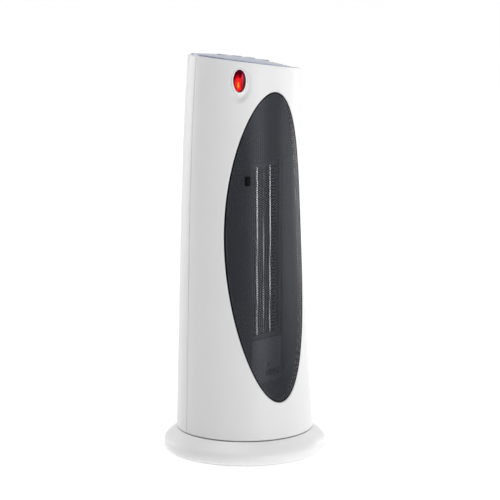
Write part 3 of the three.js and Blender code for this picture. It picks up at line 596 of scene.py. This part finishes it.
def perforated(inside, outline, pitch, hole, columns, rows):
    """Sheet full of six-sided holes on a triangular grid. Returns flat points and triangles.

    inside(x, y) says which hole centres fit, and outline is the sheet's edge.
    """
    step = pitch * math.sqrt(3) / 2
    ids = {}
    centres = []
    for i in range(-columns, columns + 1):
        for j in range(-rows, rows + 1):
            x, y = i * step, (j + 0.5 * (i % 2)) * pitch
            if inside(x, y):
                ids[(i, j)] = len(centres)
                centres.append((x, y))
    turns = np.arange(6) * math.pi / 3
    rim = hole * np.stack([np.cos(turns), np.sin(turns)], -1)
    points = (np.array(centres)[:, None, :] + rim[None]).reshape(-1, 2)
    webs, hexagons = [], []
    for (i, j), k in ids.items():
        up_right = ids.get((i + 1, j + (i % 2)))
        down_right = ids.get((i + 1, j - 1 + (i % 2)))
        above = ids.get((i, j + 1))
        a = 6 * k
        hexagons.append(range(a, a + 6))
        for other, own_corner, facing in ((up_right, 0, 4), (above, 1, 5), (down_right, 5, 3)):
            if other is not None:
                start, end, b = a + own_corner, a + (own_corner + 1) % 6, 6 * other + facing
                webs += [[start, b, b - 1], [start, b - 1, end]]
        if up_right is not None and above is not None:
            webs.append([a + 1, 6 * up_right + 3, 6 * above + 5])
        if up_right is not None and down_right is not None:
            webs.append([a, 6 * down_right + 2, 6 * up_right + 4])
    directed = {(face[n], face[(n + 1) % len(face)]) for face in webs + hexagons for n in range(len(face))}
    following = {a: b for a, b in directed if (b, a) not in directed}
    loop = [min(following)]
    while following[loop[-1]] != loop[0]:
        loop.append(following[loop[-1]])
    border, border_faces = triangulated([outline, points[loop]])
    count = len(outline)
    lookup = np.concatenate([len(points) + np.arange(count), np.array(loop)])
    all_points = np.concatenate([points, border[:count]])
    return all_points, webs + lookup[np.array(border_faces)].tolist()


def rim_frame():
    turn = Matrix.Rotation(RIM_SLOPE, 4, "Y")
    return Matrix.Translation((0, body_bow(BODY_HIGH), BODY_HIGH)) @ turn


def lens_frame():
    """X across the lens, Y up, Z out of the skin."""
    place = Vector(on_skin(LENS_ANGLE, LENS_HEIGHT, 0))
    out = Vector((math.sin(LENS_ANGLE), -math.cos(LENS_ANGLE), 0))
    up = Vector((0, 0, 1))
    across = up.cross(out)
    turn = Matrix((across, up, out)).transposed().to_4x4()
    return Matrix.Translation(place) @ turn


def element_frame():
    return Matrix.Translation(ELEMENT_PLACE) @ Matrix.Rotation(ELEMENT_TURN, 4, "Z")


# ---- Camera, light and floor ----


def make_camera():
    forward = Vector((-math.sin(CAMERA_AZIMUTH), math.cos(CAMERA_AZIMUTH), 0))
    right = Vector((forward.y, -forward.x, 0))
    camera = add_object("camera", bpy.data.cameras.new("camera"))
    camera.location = -CAMERA_DISTANCE * forward + CAMERA_SIDESTEP * right + Vector((0, 0, CAMERA_HEIGHT))
    aim = forward * math.cos(CAMERA_PITCH) - Vector((0, 0, math.sin(CAMERA_PITCH)))
    camera.rotation_euler = aim.to_track_quat("-Z", "Y").to_euler()
    camera.data.lens = CAMERA_LENS
    camera.data.sensor_width = SENSOR
    camera.data.clip_end = 100
    bpy.context.scene.camera = camera


def make_light(name, azimuth, height, distance, width, tall, power):
    """Soft rectangular light that faces the middle of the heater."""
    data = bpy.data.lights.new(name, "AREA")
    data.shape = "RECTANGLE"
    data.size = width
    data.size_y = tall
    data.energy = power
    light = add_object(name, data)
    turn = math.radians(azimuth)
    light.location = (distance * math.sin(turn), -distance * math.cos(turn), height)
    aim = LIGHT_TARGET - light.location
    light.rotation_euler = aim.to_track_quat("-Z", "Y").to_euler()
    light.visible_camera = False


def make_world():
    """White surround that is dimmer on one side, as in a light tent."""
    nodes = Nodes("surround", bpy.data.worlds)
    bpy.context.scene.world = nodes.owner
    dim_side = math.radians(DIM_AZIMUTH)
    inputs = {0: nodes.coordinates["Generated"], 1: (math.sin(dim_side), -math.cos(dim_side), 0)}
    cosine = nodes.add("ShaderNodeVectorMath", inputs, operation="DOT_PRODUCT").outputs["Value"]
    strength = nodes.spread(cosine, SURROUND_BRIGHT, SURROUND_DIM, SURROUND_SPAN, "SMOOTHSTEP")
    lit = nodes.add("ShaderNodeBackground", {"Color": (1, 1, 1, 1), "Strength": strength})
    seen = nodes.add("ShaderNodeBackground", {"Color": (1, 1, 1, 1), "Strength": 1.0})
    inputs = {1: lit.outputs["Background"], 2: seen.outputs["Background"]}
    inputs["Fac"] = nodes.add("ShaderNodeLightPath").outputs["Is Camera Ray"]
    mix = nodes.add("ShaderNodeMixShader", inputs)
    nodes.feed(nodes.tree.nodes["World Output"].inputs["Surface"], mix.outputs["Shader"])


def make_floor():
    half = 30.0
    mesh = bpy.data.meshes.new("floor")
    corners = [(-half, -half, 0), (half, -half, 0), (half, half, 0), (-half, half, 0)]
    mesh.from_pydata(corners, [], [(0, 1, 2, 3)])
    floor = add_object("floor", mesh)
    nodes = Nodes("floor")
    nodes.drift(0.4, 2, (0.88, 0.88, 0.88), (0.9, 0.9, 0.9))
    distance = nodes.add("ShaderNodeVectorMath", {0: nodes.coordinates["Object"]}, operation="LENGTH")
    glow = nodes.spread(distance.outputs["Value"], *FLOOR_GLOW, FLOOR_GLOW_REACH, "SMOOTHSTEP")
    nodes.set(Emission_Strength=glow, Emission_Color=(1, 1, 1, 1), Roughness=0.8, Specular_IOR_Level=0.1)
    mesh.materials.append(nodes.owner)


# ---- Base ----


def make_base():
    corners = [
        (88, 1), (89.7, 3.1), (90, 7.2), (89.3, 11.2), (87.3, 13.9), (84, 16.9), (80, 20.1), (75.6, 23.8),
        (73, 23.8), (73, 14), (69, 14), (69, 22.3), (61, 22.3), (61, 14), (13.3, 14), (13.3, 11.5),
        (70.5, 11.5), (70.5, 19.5), (76.5, 18.8), (83.5, 13.2), (86.6, 9), (86.8, 5), (86, 1),
    ]
    radii = [0.8, 2, 2.2, 2, 2, 2.4, 2.4, 0.35] + [0.3] * 15
    profile = filleted([(r * MM, z * MM) for r, z in corners], [r * MM for r in radii], 6)
    # The base cover takes the brighter copy of the white plastic, painted lighter for the light it gets
    cover = new_piece("base_cover_skin", revolve(profile, 240), "base_white_painted_brighter", "base", "white_plastic",
                      replaces="base_cover")
    inlet = oval(INLET_RADIUS, INLET_RADIUS, 48, (0, INLET_HEIGHT))
    inlet_bore = loft([upright(inlet, y) for y in (70 * MM, 96 * MM)], caps=True)
    plunger = middle("tip_plunger")
    plunger.z = 0
    plunger_bore = revolve([(0, 0), (2.6 * MM, 0), (2.6 * MM, 20 * MM), (0, 20 * MM)], 24)
    cut(cover, inlet_bore, moved(plunger_bore, Matrix.Translation(plunger)))
    low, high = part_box("cord_inlet")
    sleeve = [(3.6 * MM, low.y), (5 * MM, low.y), (5 * MM, high.y), (3.6 * MM, high.y)]
    sleeve_place = Matrix.Translation((0, 0, INLET_HEIGHT)) @ Matrix.Rotation(-math.pi / 2, 4, "X")
    new_piece("cord_inlet_sleeve", revolve(filleted(sleeve, 0.6 * MM), 64), "rubber", "base",
              matrix=sleeve_place, replaces="cord_inlet")
    for k in range(4):
        node = f"foot_{k + 1}"
        low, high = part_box(node)
        radius = (high.x - low.x) / 2
        edge = [(radius - 0.6 * MM, 0), (radius, 0.6 * MM), (radius, high.z)]
        edge = filleted(edge, [0.4 * MM, 0.4 * MM, 0])
        centre = middle(node)
        centre.z = 0
        new_piece(f"{node}_pad", revolve([(0, 0), *edge, (0, high.z)], 40), "rubber", "base",
                  matrix=Matrix.Translation(centre), replaces=node)


# ---- Shells ----


def lens_dish(angle, z):
    """Depth of the soft hollow round the lens, deeper to its right and below it."""
    u = (angle - LENS_ANGLE) * body_radius(z) - DISH_RIGHT
    v = z - LENS_HEIGHT + DISH_DOWN
    v = np.where(v < 0, v * 0.86, v * 1.05)
    reach = np.hypot(u / DISH_HALF[0], v / DISH_HALF[1])
    share = np.clip((1 - reach) / 0.3, 0, 1)
    return DISH_DEPTH * share * share * (3 - 2 * share)


def make_front_shell():
    """Half shell round the oval outlet: rings from the oval's lip to the outer edge, and back inside."""
    edge = SHELL_EDGE
    sides, ends = 150, 96  # points along each side, and along the bottom and the top
    up = np.linspace(0, 1, sides, endpoint=False)
    over = np.linspace(0, 1, ends, endpoint=False)
    angles = np.concatenate([edge + 0 * up, edge * (1 - 2 * over), -edge + 0 * up, edge * (2 * over - 1)])
    heights = np.concatenate([up, 1 + 0 * over, 1 - up, 0 * over])
    outer_z = BODY_LOW + heights * (rim_height(angles) - BODY_LOW)
    across = angles * FRONT_UNROLL / (56 * MM)
    along = (outer_z - OVAL_CENTRE) / OVAL_HEIGHT
    turn = np.arctan2(along, across)
    oval_x = OVAL_WIDTH * np.cos(turn)
    oval_z = OVAL_CENTRE + OVAL_HEIGHT * np.sin(turn)
    oval_angle = np.arcsin(oval_x / body_radius(oval_z))
    length = np.hypot((angles - oval_angle) * FRONT_UNROLL, outer_z - oval_z)

    def ring(share, depth, dish=True):
        """Ring at a share of the way from the oval to the outer edge."""
        angle = oval_angle + share * (angles - oval_angle)
        z = oval_z + share * (outer_z - oval_z)
        return on_skin(angle, z, depth + (lens_dish(angle, z) if dish else 0))

    rings = []
    for out, drop in rounding(1.5 * MM, 6):
        rings.append(ring(out / length, 0.8 * drop))
    rings += [ring(share, 0.0) for share in np.linspace(0, 1, 46)[2:-1]]
    for drop, inset in rounding(EDGE_ROUND):
        rings.append(ring(1 - inset / length, drop))
    rings.append(ring(1.0, WALL))
    rings += [ring(share, WALL, False) for share in np.linspace(1, 0, 14)[1:]]
    shell = new_piece("front_shell_skin", loft(rings), "white_plastic", replaces="front_shell")
    hole = oval(BEZEL_HALF[0] + LENS_GAP, BEZEL_HALF[1] + LENS_GAP, 96)
    bore = loft([lifted(hole, z) for z in (-12 * MM, 12 * MM)], caps=True)
    cut(shell, moved(bore, lens_frame()))


def edge_lines(length, fillet, step):
    """Distances along a strip, with extra lines in the rounding at both ends."""
    near = np.array([inset for _, inset in rounding(fillet)])
    between = np.linspace(fillet, length - fillet, int((length - 2 * fillet) / step))
    return np.unique(np.round(np.concatenate([near, between, length - near]), 9))


def make_rear_shell():
    """Half shell with intake slots, hand grip and screw wells."""
    edge = SHELL_EDGE
    across = edge_lines(2 * edge * BACK_UNROLL, EDGE_ROUND, 2.6 * MM) / BACK_UNROLL - edge
    tall = BODY_HIGH - BODY_LOW
    lines = edge_lines(tall, EDGE_ROUND, 4 * MM)
    angle, line = np.meshgrid(across + math.pi, lines, indexing="xy")
    z = BODY_LOW + line / tall * (rim_height(angle) - BODY_LOW)
    side = np.minimum(np.abs(across + edge), np.abs(across - edge)) * BACK_UNROLL
    end = np.minimum(lines, tall - lines)
    inside_edge = np.maximum(EDGE_ROUND - np.minimum(side[None, :], end[:, None]), 0)
    drop = EDGE_ROUND - np.sqrt(np.maximum(EDGE_ROUND**2 - inside_edge**2, 0))
    index = np.arange(z.size).reshape(z.shape)
    grid = np.stack([index[:-1, :-1], index[:-1, 1:], index[1:, 1:], index[1:, :-1]], -1).reshape(-1, 4)

    def place(flat, depth):
        return on_skin(*flat.T, depth)

    solid = sheet_solid(np.column_stack([angle.ravel(), z.ravel()]), grid, place, drop.ravel(), WALL)
    shell = new_piece("rear_shell_skin", solid, "white_plastic", replaces="rear_shell")
    parts = []
    for row in range(SLOT_ROWS):
        for x in SLOT_COLUMNS:
            outline = rounded_rectangle(*SLOT_HALF, 3.4 * MM, (x, SLOT_LOW + row * SLOT_PITCH), 6)
            parts.append(flared(outline, 0.7 * MM))
    grip = rounded_rectangle(GRIP_HALF[0] + GAP, GRIP_HALF[1] + GAP, 8 * MM, (0, GRIP_HEIGHT), 10)
    parts.append(flared(grip, 0.6 * MM))
    for x, height in SHELL_SCREWS:
        parts.append(flared(oval(3.6 * MM, 3.6 * MM, 40, (x, height)), 0.5 * MM))
    cut(shell, *parts)
    wells = [screw_well(x, height) for x, height in SHELL_SCREWS]
    new_piece("screw_wells", merged(*wells), "white_plastic")


def flared(outline, flare):
    """Cutter along Y at the back that widens where it meets the skin, which leaves a rounded edge."""
    centre = outline.mean(0)
    rays = outline - centre
    reach = np.linalg.norm(rays, axis=1, keepdims=True)
    ring = centre + rays * (1 + flare / reach)
    rings = [upright(ring, BASE_RADIUS)]
    for depth, grow in (*rounding(flare), (9 * MM, 0)):
        ring = centre + rays * (1 + grow / reach)
        rings.append(upright(ring, skin_y(ring, 1) - depth))
    return loft(rings, caps=True)


def screw_well(x, z):
    """Tube round a shell screw, from under the skin to the head's inside."""
    rings = []
    for radius, at_skin in ((3.6 * MM, True), (3.6 * MM, False), (4.6 * MM, False), (4.6 * MM, True)):
        ring = oval(radius, radius, 32, (x, z))
        rings.append(upright(ring, skin_y(ring, 1, 1.2 * MM) if at_skin else 20.5 * MM))
    return loft(rings)


def make_grip_cup():
    """Hand grip: a pocket with rounded edges that follows the skin."""
    corner = 7.7 * MM
    wall_inset = 2.2 * MM
    back = GRIP_FLOOR - 2 * MM
    rings = [upright(rounded_rectangle(*GRIP_HALF, corner, (0, GRIP_HEIGHT), 10), back)]

    def row(inset, y=None, depth=None):
        half = (GRIP_HALF[0] - inset, GRIP_HALF[1] - inset)
        ring = rounded_rectangle(*half, max(corner - inset, 1 * MM), (0, GRIP_HEIGHT), 10)
        rings.append(upright(ring, skin_y(ring, 1, depth) if y is None else y))

    row(0, depth=0.9 * MM)
    for inset, _ in rounding(2 * MM):
        row(inset, depth=0.6 * MM)
    row(wall_inset, depth=1.6 * MM)
    for inset, rise in rounding(3 * MM):
        row(wall_inset + inset, y=GRIP_FLOOR + rise)
    count = len(rings[0])
    points = np.concatenate([*rings, [[0, GRIP_FLOOR, GRIP_HEIGHT]], [[0, back, GRIP_HEIGHT]]])
    faces = ring_faces(len(rings), count, False).tolist()
    hub = len(rings) * count
    faces += fan(hub - count, count, hub) + fan(0, count, hub + 1)
    new_piece("grip_cup_skin", (points, faces), "white_plastic", replaces="grip_cup")


# ---- Screws ----


def screw(head_radius, shank_radius, length, head_height):
    """Pan-head screw, without its cross recess, that points along -Z, with its head's rim at z = 0."""
    profile = [(0, -length), (shank_radius, -length + 1.2 * MM), (shank_radius, 0), (head_radius, 0)]
    for a in arc_steps(5)[:-1]:
        profile.append((head_radius * math.cos(a) ** 0.8, head_height * math.sin(a)))
    return revolve([*profile, (0, head_height)], 36)


def cross_recess(size, depth, head_height):
    """Plus-shaped cutter for a screw head."""
    width = size * 0.26
    plus = [(width, width), (width, size), (-width, size), (-width, width), (-size, width), (-size, -width),
            (-width, -width), (-width, -size), (width, -size), (width, -width), (size, -width), (size, width)]
    rings = []
    for z, share in ((head_height - depth, 0.7), (head_height + 1 * MM, 1.0)):
        rings.append([(x * share, y * share, z) for x, y in plus])
    return loft(rings, caps=True)


def make_screws():
    """Shell screws that point forwards from the back, and base screws that point up from below."""
    # Name, number, body, length, head height, recess depth, tilt of the axis, first turn and turn for each
    kinds = (
        ("shell_screw", 4, "head", 15 * MM, 2.4 * MM, 1.4 * MM, -math.pi / 2, 0.4, 0.7),
        ("base_screw", 3, "base", 7 * MM, 1.8 * MM, 1.1 * MM, math.pi, 0.3, 0.9),
    )
    for name, count, body, length, head_height, recess, tilt, turn, step in kinds:
        for k in range(count):
            node = f"{name}_{k + 1}"
            low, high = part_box(node)
            rim = middle(node)
            if body == "head":
                rim.y = high.y - head_height
            else:
                rim.z = low.z + head_height
            place = Matrix.Translation(rim) @ Matrix.Rotation(tilt, 4, "X")
            place = place @ Matrix.Rotation(turn + step * k, 4, "Z")
            shape = screw((high.x - low.x) / 2, 1.2 * MM, length, head_height)
            piece = new_piece(f"{node}_pan", shape, "steel", body, matrix=place, replaces=node)
            cut(piece, moved(cross_recess(2 * MM, recess, head_height), place))


# ---- Grilles ----


def flat_oval(half_width, half_height, count):
    """Oval of the outlet, unrolled from the skin: arc length across, and height from its centre."""
    edge = oval(half_width, half_height, count)
    radius = body_radius(edge[:, 1] + OVAL_CENTRE)
    return np.column_stack([np.arcsin(edge[:, 0] / radius) * radius, edge[:, 1]])


def wrapped(points, centre_z, depth, turn=0.0):
    """Unrolled points laid on the skin."""
    z = points[:, 1] + centre_z
    return on_skin(points[:, 0] / body_radius(z) + turn, z, depth)


def make_front_grille():
    margin = 2.2 * MM
    pitch, hole = 2.5 * MM, 1.06 * MM

    def inside(u, v):
        radius = body_radius(v + OVAL_CENTRE)
        x = radius * math.sin(u / radius)
        return (x / (OVAL_WIDTH - margin)) ** 2 + (v / (OVAL_HEIGHT - margin)) ** 2 < 1

    outline = flat_oval(OVAL_WIDTH - 0.5 * MM, OVAL_HEIGHT - 0.5 * MM, 360)
    points, faces = perforated(inside, outline, pitch, hole, 28, 70)

    def place(flat, depth):
        return wrapped(flat, OVAL_CENTRE, depth)

    solid = sheet_solid(points, faces, place, 0.55 * MM, 1.0 * MM)
    new_piece("front_mesh", solid, "mesh_paint", replaces="front_grille", sharp=20)

    def oval_ring(profile):
        """Ring that follows the outlet's edge; the profile gives depth under the skin and growth, in mm."""
        rings = []
        for depth, grow in profile:
            edge = oval(OVAL_WIDTH + grow * MM, OVAL_HEIGHT + grow * MM, 240, (0, OVAL_CENTRE))
            rings.append(upright(edge, skin_y(edge, -1, depth * MM)))
        return loft(rings)

    frame_ring = oval_ring([
        (3.1, 3.8), (3.1, -0.1), (1.15, -0.1), (1.15, -0.7), (3.1, -0.9),
        (3.1, -2.8), (3.4, -3.0), (4.3, -3.0), (4.5, -2.8), (4.5, 3.8),
    ])
    new_piece("grille_ring", frame_ring, "black_plastic", replaces="grille_frame")
    # Bead round the mesh's edge: real rim geometry, with a near-black finish that is also painted shade
    # darkening the edge
    bead = oval_ring([(0.56, -0.3), (0.3, -0.4), (0.18, -0.8), (0.22, -1.3), (0.4, -1.65), (0.56, -1.75)])
    new_piece("grille_bead_painted_shade", bead, "dark_block", slot="black_plastic")


def make_intake_screen():
    low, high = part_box("intake_screen")
    centre = (low.z + high.z) / 2
    half_height = (high.z - low.z) / 2
    half_width = math.radians(56) * BACK_UNROLL
    edge = 3.4 * MM
    outline = rounded_rectangle(half_width, half_height, 2 * MM, (0, 0), 4)

    def inside(u, v):
        return abs(u) < half_width - edge and abs(v) < half_height - edge

    points, faces = perforated(inside, outline, 4.2 * MM, 1.75 * MM, 20, 30)

    def place(flat, depth):
        return wrapped(flat, centre, WALL + depth, math.pi)

    solid = sheet_solid(points, faces, place, 1 * MM, 1.9 * MM)
    new_piece("intake_mesh", solid, "mesh_paint", replaces="intake_screen", sharp=20)


# ---- Outlet funnel and heating element ----


def make_funnel():
    """Flange from the element's baffle to the oval, with a slim groove down the baffle's right side."""
    count = 200
    turns = full_turn(count) + math.pi / count
    matrix = np.array(element_frame())
    scale = 1 / np.maximum(np.abs(np.cos(turns)), np.abs(np.sin(turns)))
    u, v = scale * np.cos(turns), scale * np.sin(turns)
    centre = (BAFFLE_LOW + BAFFLE_HIGH) / 2
    half_height = (BAFFLE_HIGH - BAFFLE_LOW) / 2

    def baffle_ring(grow, depth):
        """Outline of the baffle, wider by grow on its right."""
        width = BAFFLE_WIDTH + np.where(u > 0, grow, 0)
        level = np.full(count, BAFFLE_FRONT + depth)
        local = np.column_stack([u * width, level, centre + v * half_height, np.ones(count)])
        return (local @ matrix.T)[:, :3]

    x = (OVAL_WIDTH - 3 * MM) * np.cos(turns)
    z = OVAL_CENTRE + (OVAL_HEIGHT - 3 * MM) * np.sin(turns)
    front = np.column_stack([x, z])
    front_ring = upright(front, skin_y(front, -1, 4.8 * MM))
    groove, groove_depth = 1.6 * MM, 3.2 * MM
    start = baffle_ring(groove, 0)
    rows = [baffle_ring(0, groove_depth), baffle_ring(groove, groove_depth)]
    for share in np.linspace(0, 1, 14):
        rows.append(start + (front_ring - start) * [share, share**1.25, share])
    back_rows = [row + np.array([0, SHEET, 0]) for row in rows[:1:-1]]
    back_rows += [baffle_ring(groove, groove_depth + 1.4 * MM), baffle_ring(0, groove_depth + 1.4 * MM)]
    ports = [
        rounded_rectangle(12 * MM, 4 * MM, 0.8 * MM, (9.5 * MM, 91 * MM), 3),
        rounded_rectangle(3.5 * MM, 2 * MM, 0.6 * MM, (1 * MM, 100 * MM), 3),
    ]
    window_centre = (ELEMENT_LOW + ELEMENT_HIGH) / 2
    window_half = (ELEMENT_HIGH - ELEMENT_LOW) / 2 + WINDOW_MARGIN
    loops = [
        rounded_rectangle(BAFFLE_WIDTH - 0.2 * MM, half_height - 0.2 * MM, 1 * MM, (0, centre), 3),
        rounded_rectangle(WINDOW_WIDTH, window_half, 0.6 * MM, (0, window_centre), 3),
        *ports,
    ]

    def place(flat, depth):
        return upright(flat, BAFFLE_FRONT + depth)

    def plate(name, outlines, finish, front, back):
        solid = sheet_solid(*triangulated(outlines), place, front, back)
        new_piece(name, solid, finish, slot="black_plastic", matrix=element_frame())

    new_piece("funnel_flange", loft(rows + back_rows), "black_liner", slot="black_plastic",
              replaces="outlet_funnel")
    plate("funnel_baffle", loops, "black_liner", 0, SHEET)
    stop = block((-32 * MM, -12.5 * MM, 300.5 * MM), (-27.4 * MM, -8 * MM, 310.5 * MM), 0.5 * MM)
    new_piece("sensor_block", stop, "dark_block", slot="black_plastic", matrix=element_frame())
    cover_low, cover_high = BAFFLE_LOW + 1.5 * MM, ELEMENT_LOW - WINDOW_MARGIN - 2 * MM
    cover_centre = (0, (cover_low + cover_high) / 2)
    cover = rounded_rectangle(BAFFLE_WIDTH - 1.5 * MM, (cover_high - cover_low) / 2, 2 * MM, cover_centre, 4)
    # The cover below the element takes the lighter copy of the liner, painted lighter for light from below
    plate("terminal_cover", [cover, *ports], "liner_painted_lighter", -1.2 * MM, 0.1 * MM)


def bar_along(*edges):
    """Solid bar between four long edges."""
    return loft(np.stack(edges, 1), caps=True)


def fin_strip(x, width, folds, thickness, depth):
    """Corrugated fin: a zigzag sheet that fills the space between two bars."""
    low, high = ELEMENT_LOW + 0.6 * MM, ELEMENT_HIGH - 0.6 * MM
    levels = np.linspace(low, high, folds + 1)
    swing = width / 2 - thickness
    path = np.array([[x + (swing if k % 2 else -swing), level] for k, level in enumerate(levels)])
    left, right = path - [thickness / 2, 0], path + [thickness / 2, 0]
    corners = ((left, -depth), (right, -depth), (right, depth), (left, depth))
    return bar_along(*[upright(edge, y) for edge, y in corners])


def make_element():
    matrix = element_frame()
    half = ELEMENT_DEPTH / 2

    def upright_bar(name, x, half_width, node):
        bar = block((x - half_width, -half, ELEMENT_LOW), (x + half_width, half, ELEMENT_HIGH))
        new_piece(name, bar, "aluminium", matrix=matrix, replaces=node)

    for k, x in enumerate((-BAR_OFFSET, BAR_OFFSET)):
        upright_bar(f"heater_bar_{k + 1}", x, BAR_HALF, f"ceramic_bar_{k + 1}")
    upright_bar("electrode_strip", 0, 0.5 * MM, "centre_electrode")
    outer, inner = (15.9 * MM, 8.6 * MM), (5.05 * MM, 8.0 * MM)  # offset and width of the fins
    for k, (side, (offset, width)) in enumerate(((-1, outer), (-1, inner), (1, inner), (1, outer)), 1):
        fins = fin_strip(side * offset, width, 100, 0.32 * MM, half - 0.5 * MM)
        new_piece(f"fins_{k}", fins, "fin_aluminium", matrix=matrix, replaces=f"fin_strip_{k}", sharp=20)


# ---- Indicator ----


def make_indicator():
    matrix = lens_frame()
    count = 96
    width, height = BEZEL_HALF
    lens_width, lens_height = LENS_HALF
    rings = []

    def row(half_width, half_height, z):
        rings.append(lifted(oval(half_width, half_height, count), z))

    back = -3.2 * MM
    inner = (lens_width + LENS_GAP, lens_height + LENS_GAP)
    row(width - 0.1 * MM, height - 0.1 * MM, back)
    row(width, height, -0.9 * MM)
    crest = ((width + inner[0]) / 2, (height + inner[1]) / 2)
    bead = (width - inner[0]) / 2
    for a in np.linspace(0, math.pi, 13):
        grow = bead * math.cos(a)
        row(crest[0] + grow, crest[1] + grow, -0.5 * MM + 0.9 * MM * math.sin(a))
    row(*inner, back)
    # The lens ring takes the brighter copy of the white plastic, painted lighter
    new_piece("lens_ring", loft(rings), "bezel_white_painted_brighter", slot="white_plastic", matrix=matrix,
              replaces="lens_bezel")
    rings.clear()
    row(lens_width - 0.2 * MM, lens_height - 0.2 * MM, back)
    row(*LENS_HALF, -3 * MM)
    row(*LENS_HALF, -0.8 * MM)
    for a in arc_steps(14)[1:-1]:
        row(lens_width * math.cos(a), lens_height * math.cos(a), -0.8 * MM + 2.2 * MM * math.sin(a))
    new_piece("indicator_window", loft(rings, caps=True), "red_lens", matrix=matrix,
              replaces="indicator_lens", own_axes=True)


# ---- Control panel ----


def panel_height(x, y):
    return CROWN_HEIGHT * (1 - ((x - CROWN_X) ** 2 + y**2) / CROWN_RADIUS**2) - PANEL_DIP


def panel_reach(turns, margin):
    """Radius, in the rim's plane, at which the panel meets the inside of the skin."""
    matrix = np.array(rim_frame())
    reach = np.full(len(turns), 58 * MM)  # a first guess, which each pass betters
    for _ in range(12):
        x, y = reach * np.cos(turns), reach * np.sin(turns)
        world = np.column_stack([x, y, panel_height(x, y), np.ones(len(turns))]) @ matrix.T
        out = np.hypot(world[:, 0], world[:, 1] - body_bow(world[:, 2]))
        reach = reach + (body_radius(world[:, 2]) - WALL - margin) - out
    return reach


def make_panel():
    turns = full_turn(180)
    reach = panel_reach(turns, GAP + 0.05 * MM)
    rings = []

    def row(radius, drop):
        x, y = radius * np.cos(turns), radius * np.sin(turns)
        rings.append(np.column_stack([x, y, panel_height(x, y) - drop]))

    for share in np.linspace(0.02, 0.97, 34):
        row(reach * share, 0)
    for drop, inset in rounding(0.6 * MM):
        row(reach - inset, drop)
    row(reach, PANEL_THICKNESS)
    for share in np.linspace(0.95, 0.05, 10):
        row(reach * share, PANEL_THICKNESS)
    # The panel plastic's blue tint is painted reflected light
    panel = new_piece("panel_dome", loft(rings, caps=True), "panel_plastic", matrix=rim_frame(),
                      replaces="control_panel")
    bores = []
    for x, y, radius in BUTTONS.values():
        circle = oval(radius + 0.35 * MM, radius + 0.35 * MM, 64, (x, y))
        bores.append(loft([lifted(circle, z) for z in (-8 * MM, panel_height(x, y) + 8 * MM)], caps=True))
    cut(panel, moved(merged(*bores), rim_frame()))


def mark_stroke(path, width, level):
    """Raised line of a button mark along a flat path."""
    path = np.asarray(path, float)
    ahead = np.gradient(path, axis=0)
    ahead /= np.linalg.norm(ahead, axis=1, keepdims=True)
    normal = np.column_stack([-ahead[:, 1], ahead[:, 0]]) * width / 2
    left, right = path + normal, path - normal
    low, high = level - 0.3 * MM, level + 0.16 * MM
    corners = ((left, low), (left, high), (right, high), (right, low))
    return bar_along(*[lifted(edge, z) for edge, z in corners])


def arc(radius, start, end, centre=(0, 0), count=24):
    turns = np.radians(np.linspace(start, end, count))
    return np.stack([centre[0] + radius * np.cos(turns), centre[1] + radius * np.sin(turns)], -1)


def button_marks(name, level):
    """Plain marks for on/off, heat level, swing and timer."""
    width = 0.55 * MM
    if name == "button_power":
        strokes = [arc(3 * MM, 120, 420), [(0, 1.4 * MM), (0, 4.2 * MM)]]
    elif name == "button_mode":
        bars = ((-1.8 * MM, 1.2 * MM), (0, 2.3 * MM), (1.8 * MM, 3.4 * MM))
        strokes = [[(x, -1.6 * MM), (x, height - 1.6 * MM)] for x, height in bars]
    elif name == "button_swing":
        ends = [[(side * 2.9 * MM, 1.4 * MM), (side * 2.3 * MM, -0.2 * MM)] for side in (-1, 1)]
        strokes = [arc(2.6 * MM, 30, 150, (0, -1.2 * MM)), *ends]
    else:
        strokes = [arc(2.4 * MM, 0, 360), [(0, 0), (0, 1.6 * MM)], [(0, 0), (1.2 * MM, 0)]]
    return [mark_stroke(stroke, width, level) for stroke in strokes]


def make_buttons():
    for name, (x, y, radius) in BUTTONS.items():
        top = panel_height(x, y) + BUTTON_PROUD
        shoulder = top - BUTTON_PROUD - PANEL_THICKNESS - 2.2 * MM
        collar = shoulder - 1.2 * MM
        flange = radius + 1.2 * MM
        profile = [(0, BUTTON_TAIL), (2 * MM, BUTTON_TAIL), (2 * MM, collar), (flange, collar),
                   (flange, shoulder), (radius, shoulder)]
        dish = radius - BUTTON_ROUND
        for inset, drop in rounding(BUTTON_ROUND, 6):
            profile.append((radius - inset, top - drop))
        for share in (0.8, 0.55, 0.3, 0.1, 0):
            profile.append((dish * share, top - BUTTON_DISH * (1 - share**2)))
        finish, mark_finish = "button_plastic", "dark_button"
        if name == "button_power":
            finish, mark_finish = mark_finish, finish
        place = rim_frame() @ Matrix.Translation((x, y, 0))
        key = name.removeprefix("button_") + "_key"
        new_piece(f"{name}_cap", revolve(profile, 64), finish, key, matrix=place, replaces=name)
        marks = merged(*button_marks(name, top - 0.3 * MM))
        new_piece(f"{name}_mark", marks, mark_finish, key, matrix=place)


# ---- Pieces that keep their CAD shape ----


def finish_cad_nodes():
    """Gives each CAD node the finish of its slot in the record."""
    slots = {row["node"]: row["material_slot"] for row in frame["record"]["subparts"]}
    for node, obj in frame["nodes"].items():
        obj.data.materials.clear()
        obj.data.materials.append(FINISHES[slots[node]])
        obj.data.shade_smooth()
        obj.data.set_sharp_from_angle(angle=math.radians(25))


make_camera()
make_world()
make_floor()
for light_name, settings in LIGHTS.items():
    make_light(light_name, *settings)

finish_cad_nodes()
make_base()
make_front_shell()
make_rear_shell()
make_grip_cup()
make_screws()
make_front_grille()
make_intake_screen()
make_funnel()
make_element()
make_indicator()
make_panel()
make_buttons()

bpy.context.scene.view_settings.view_transform = "Standard"
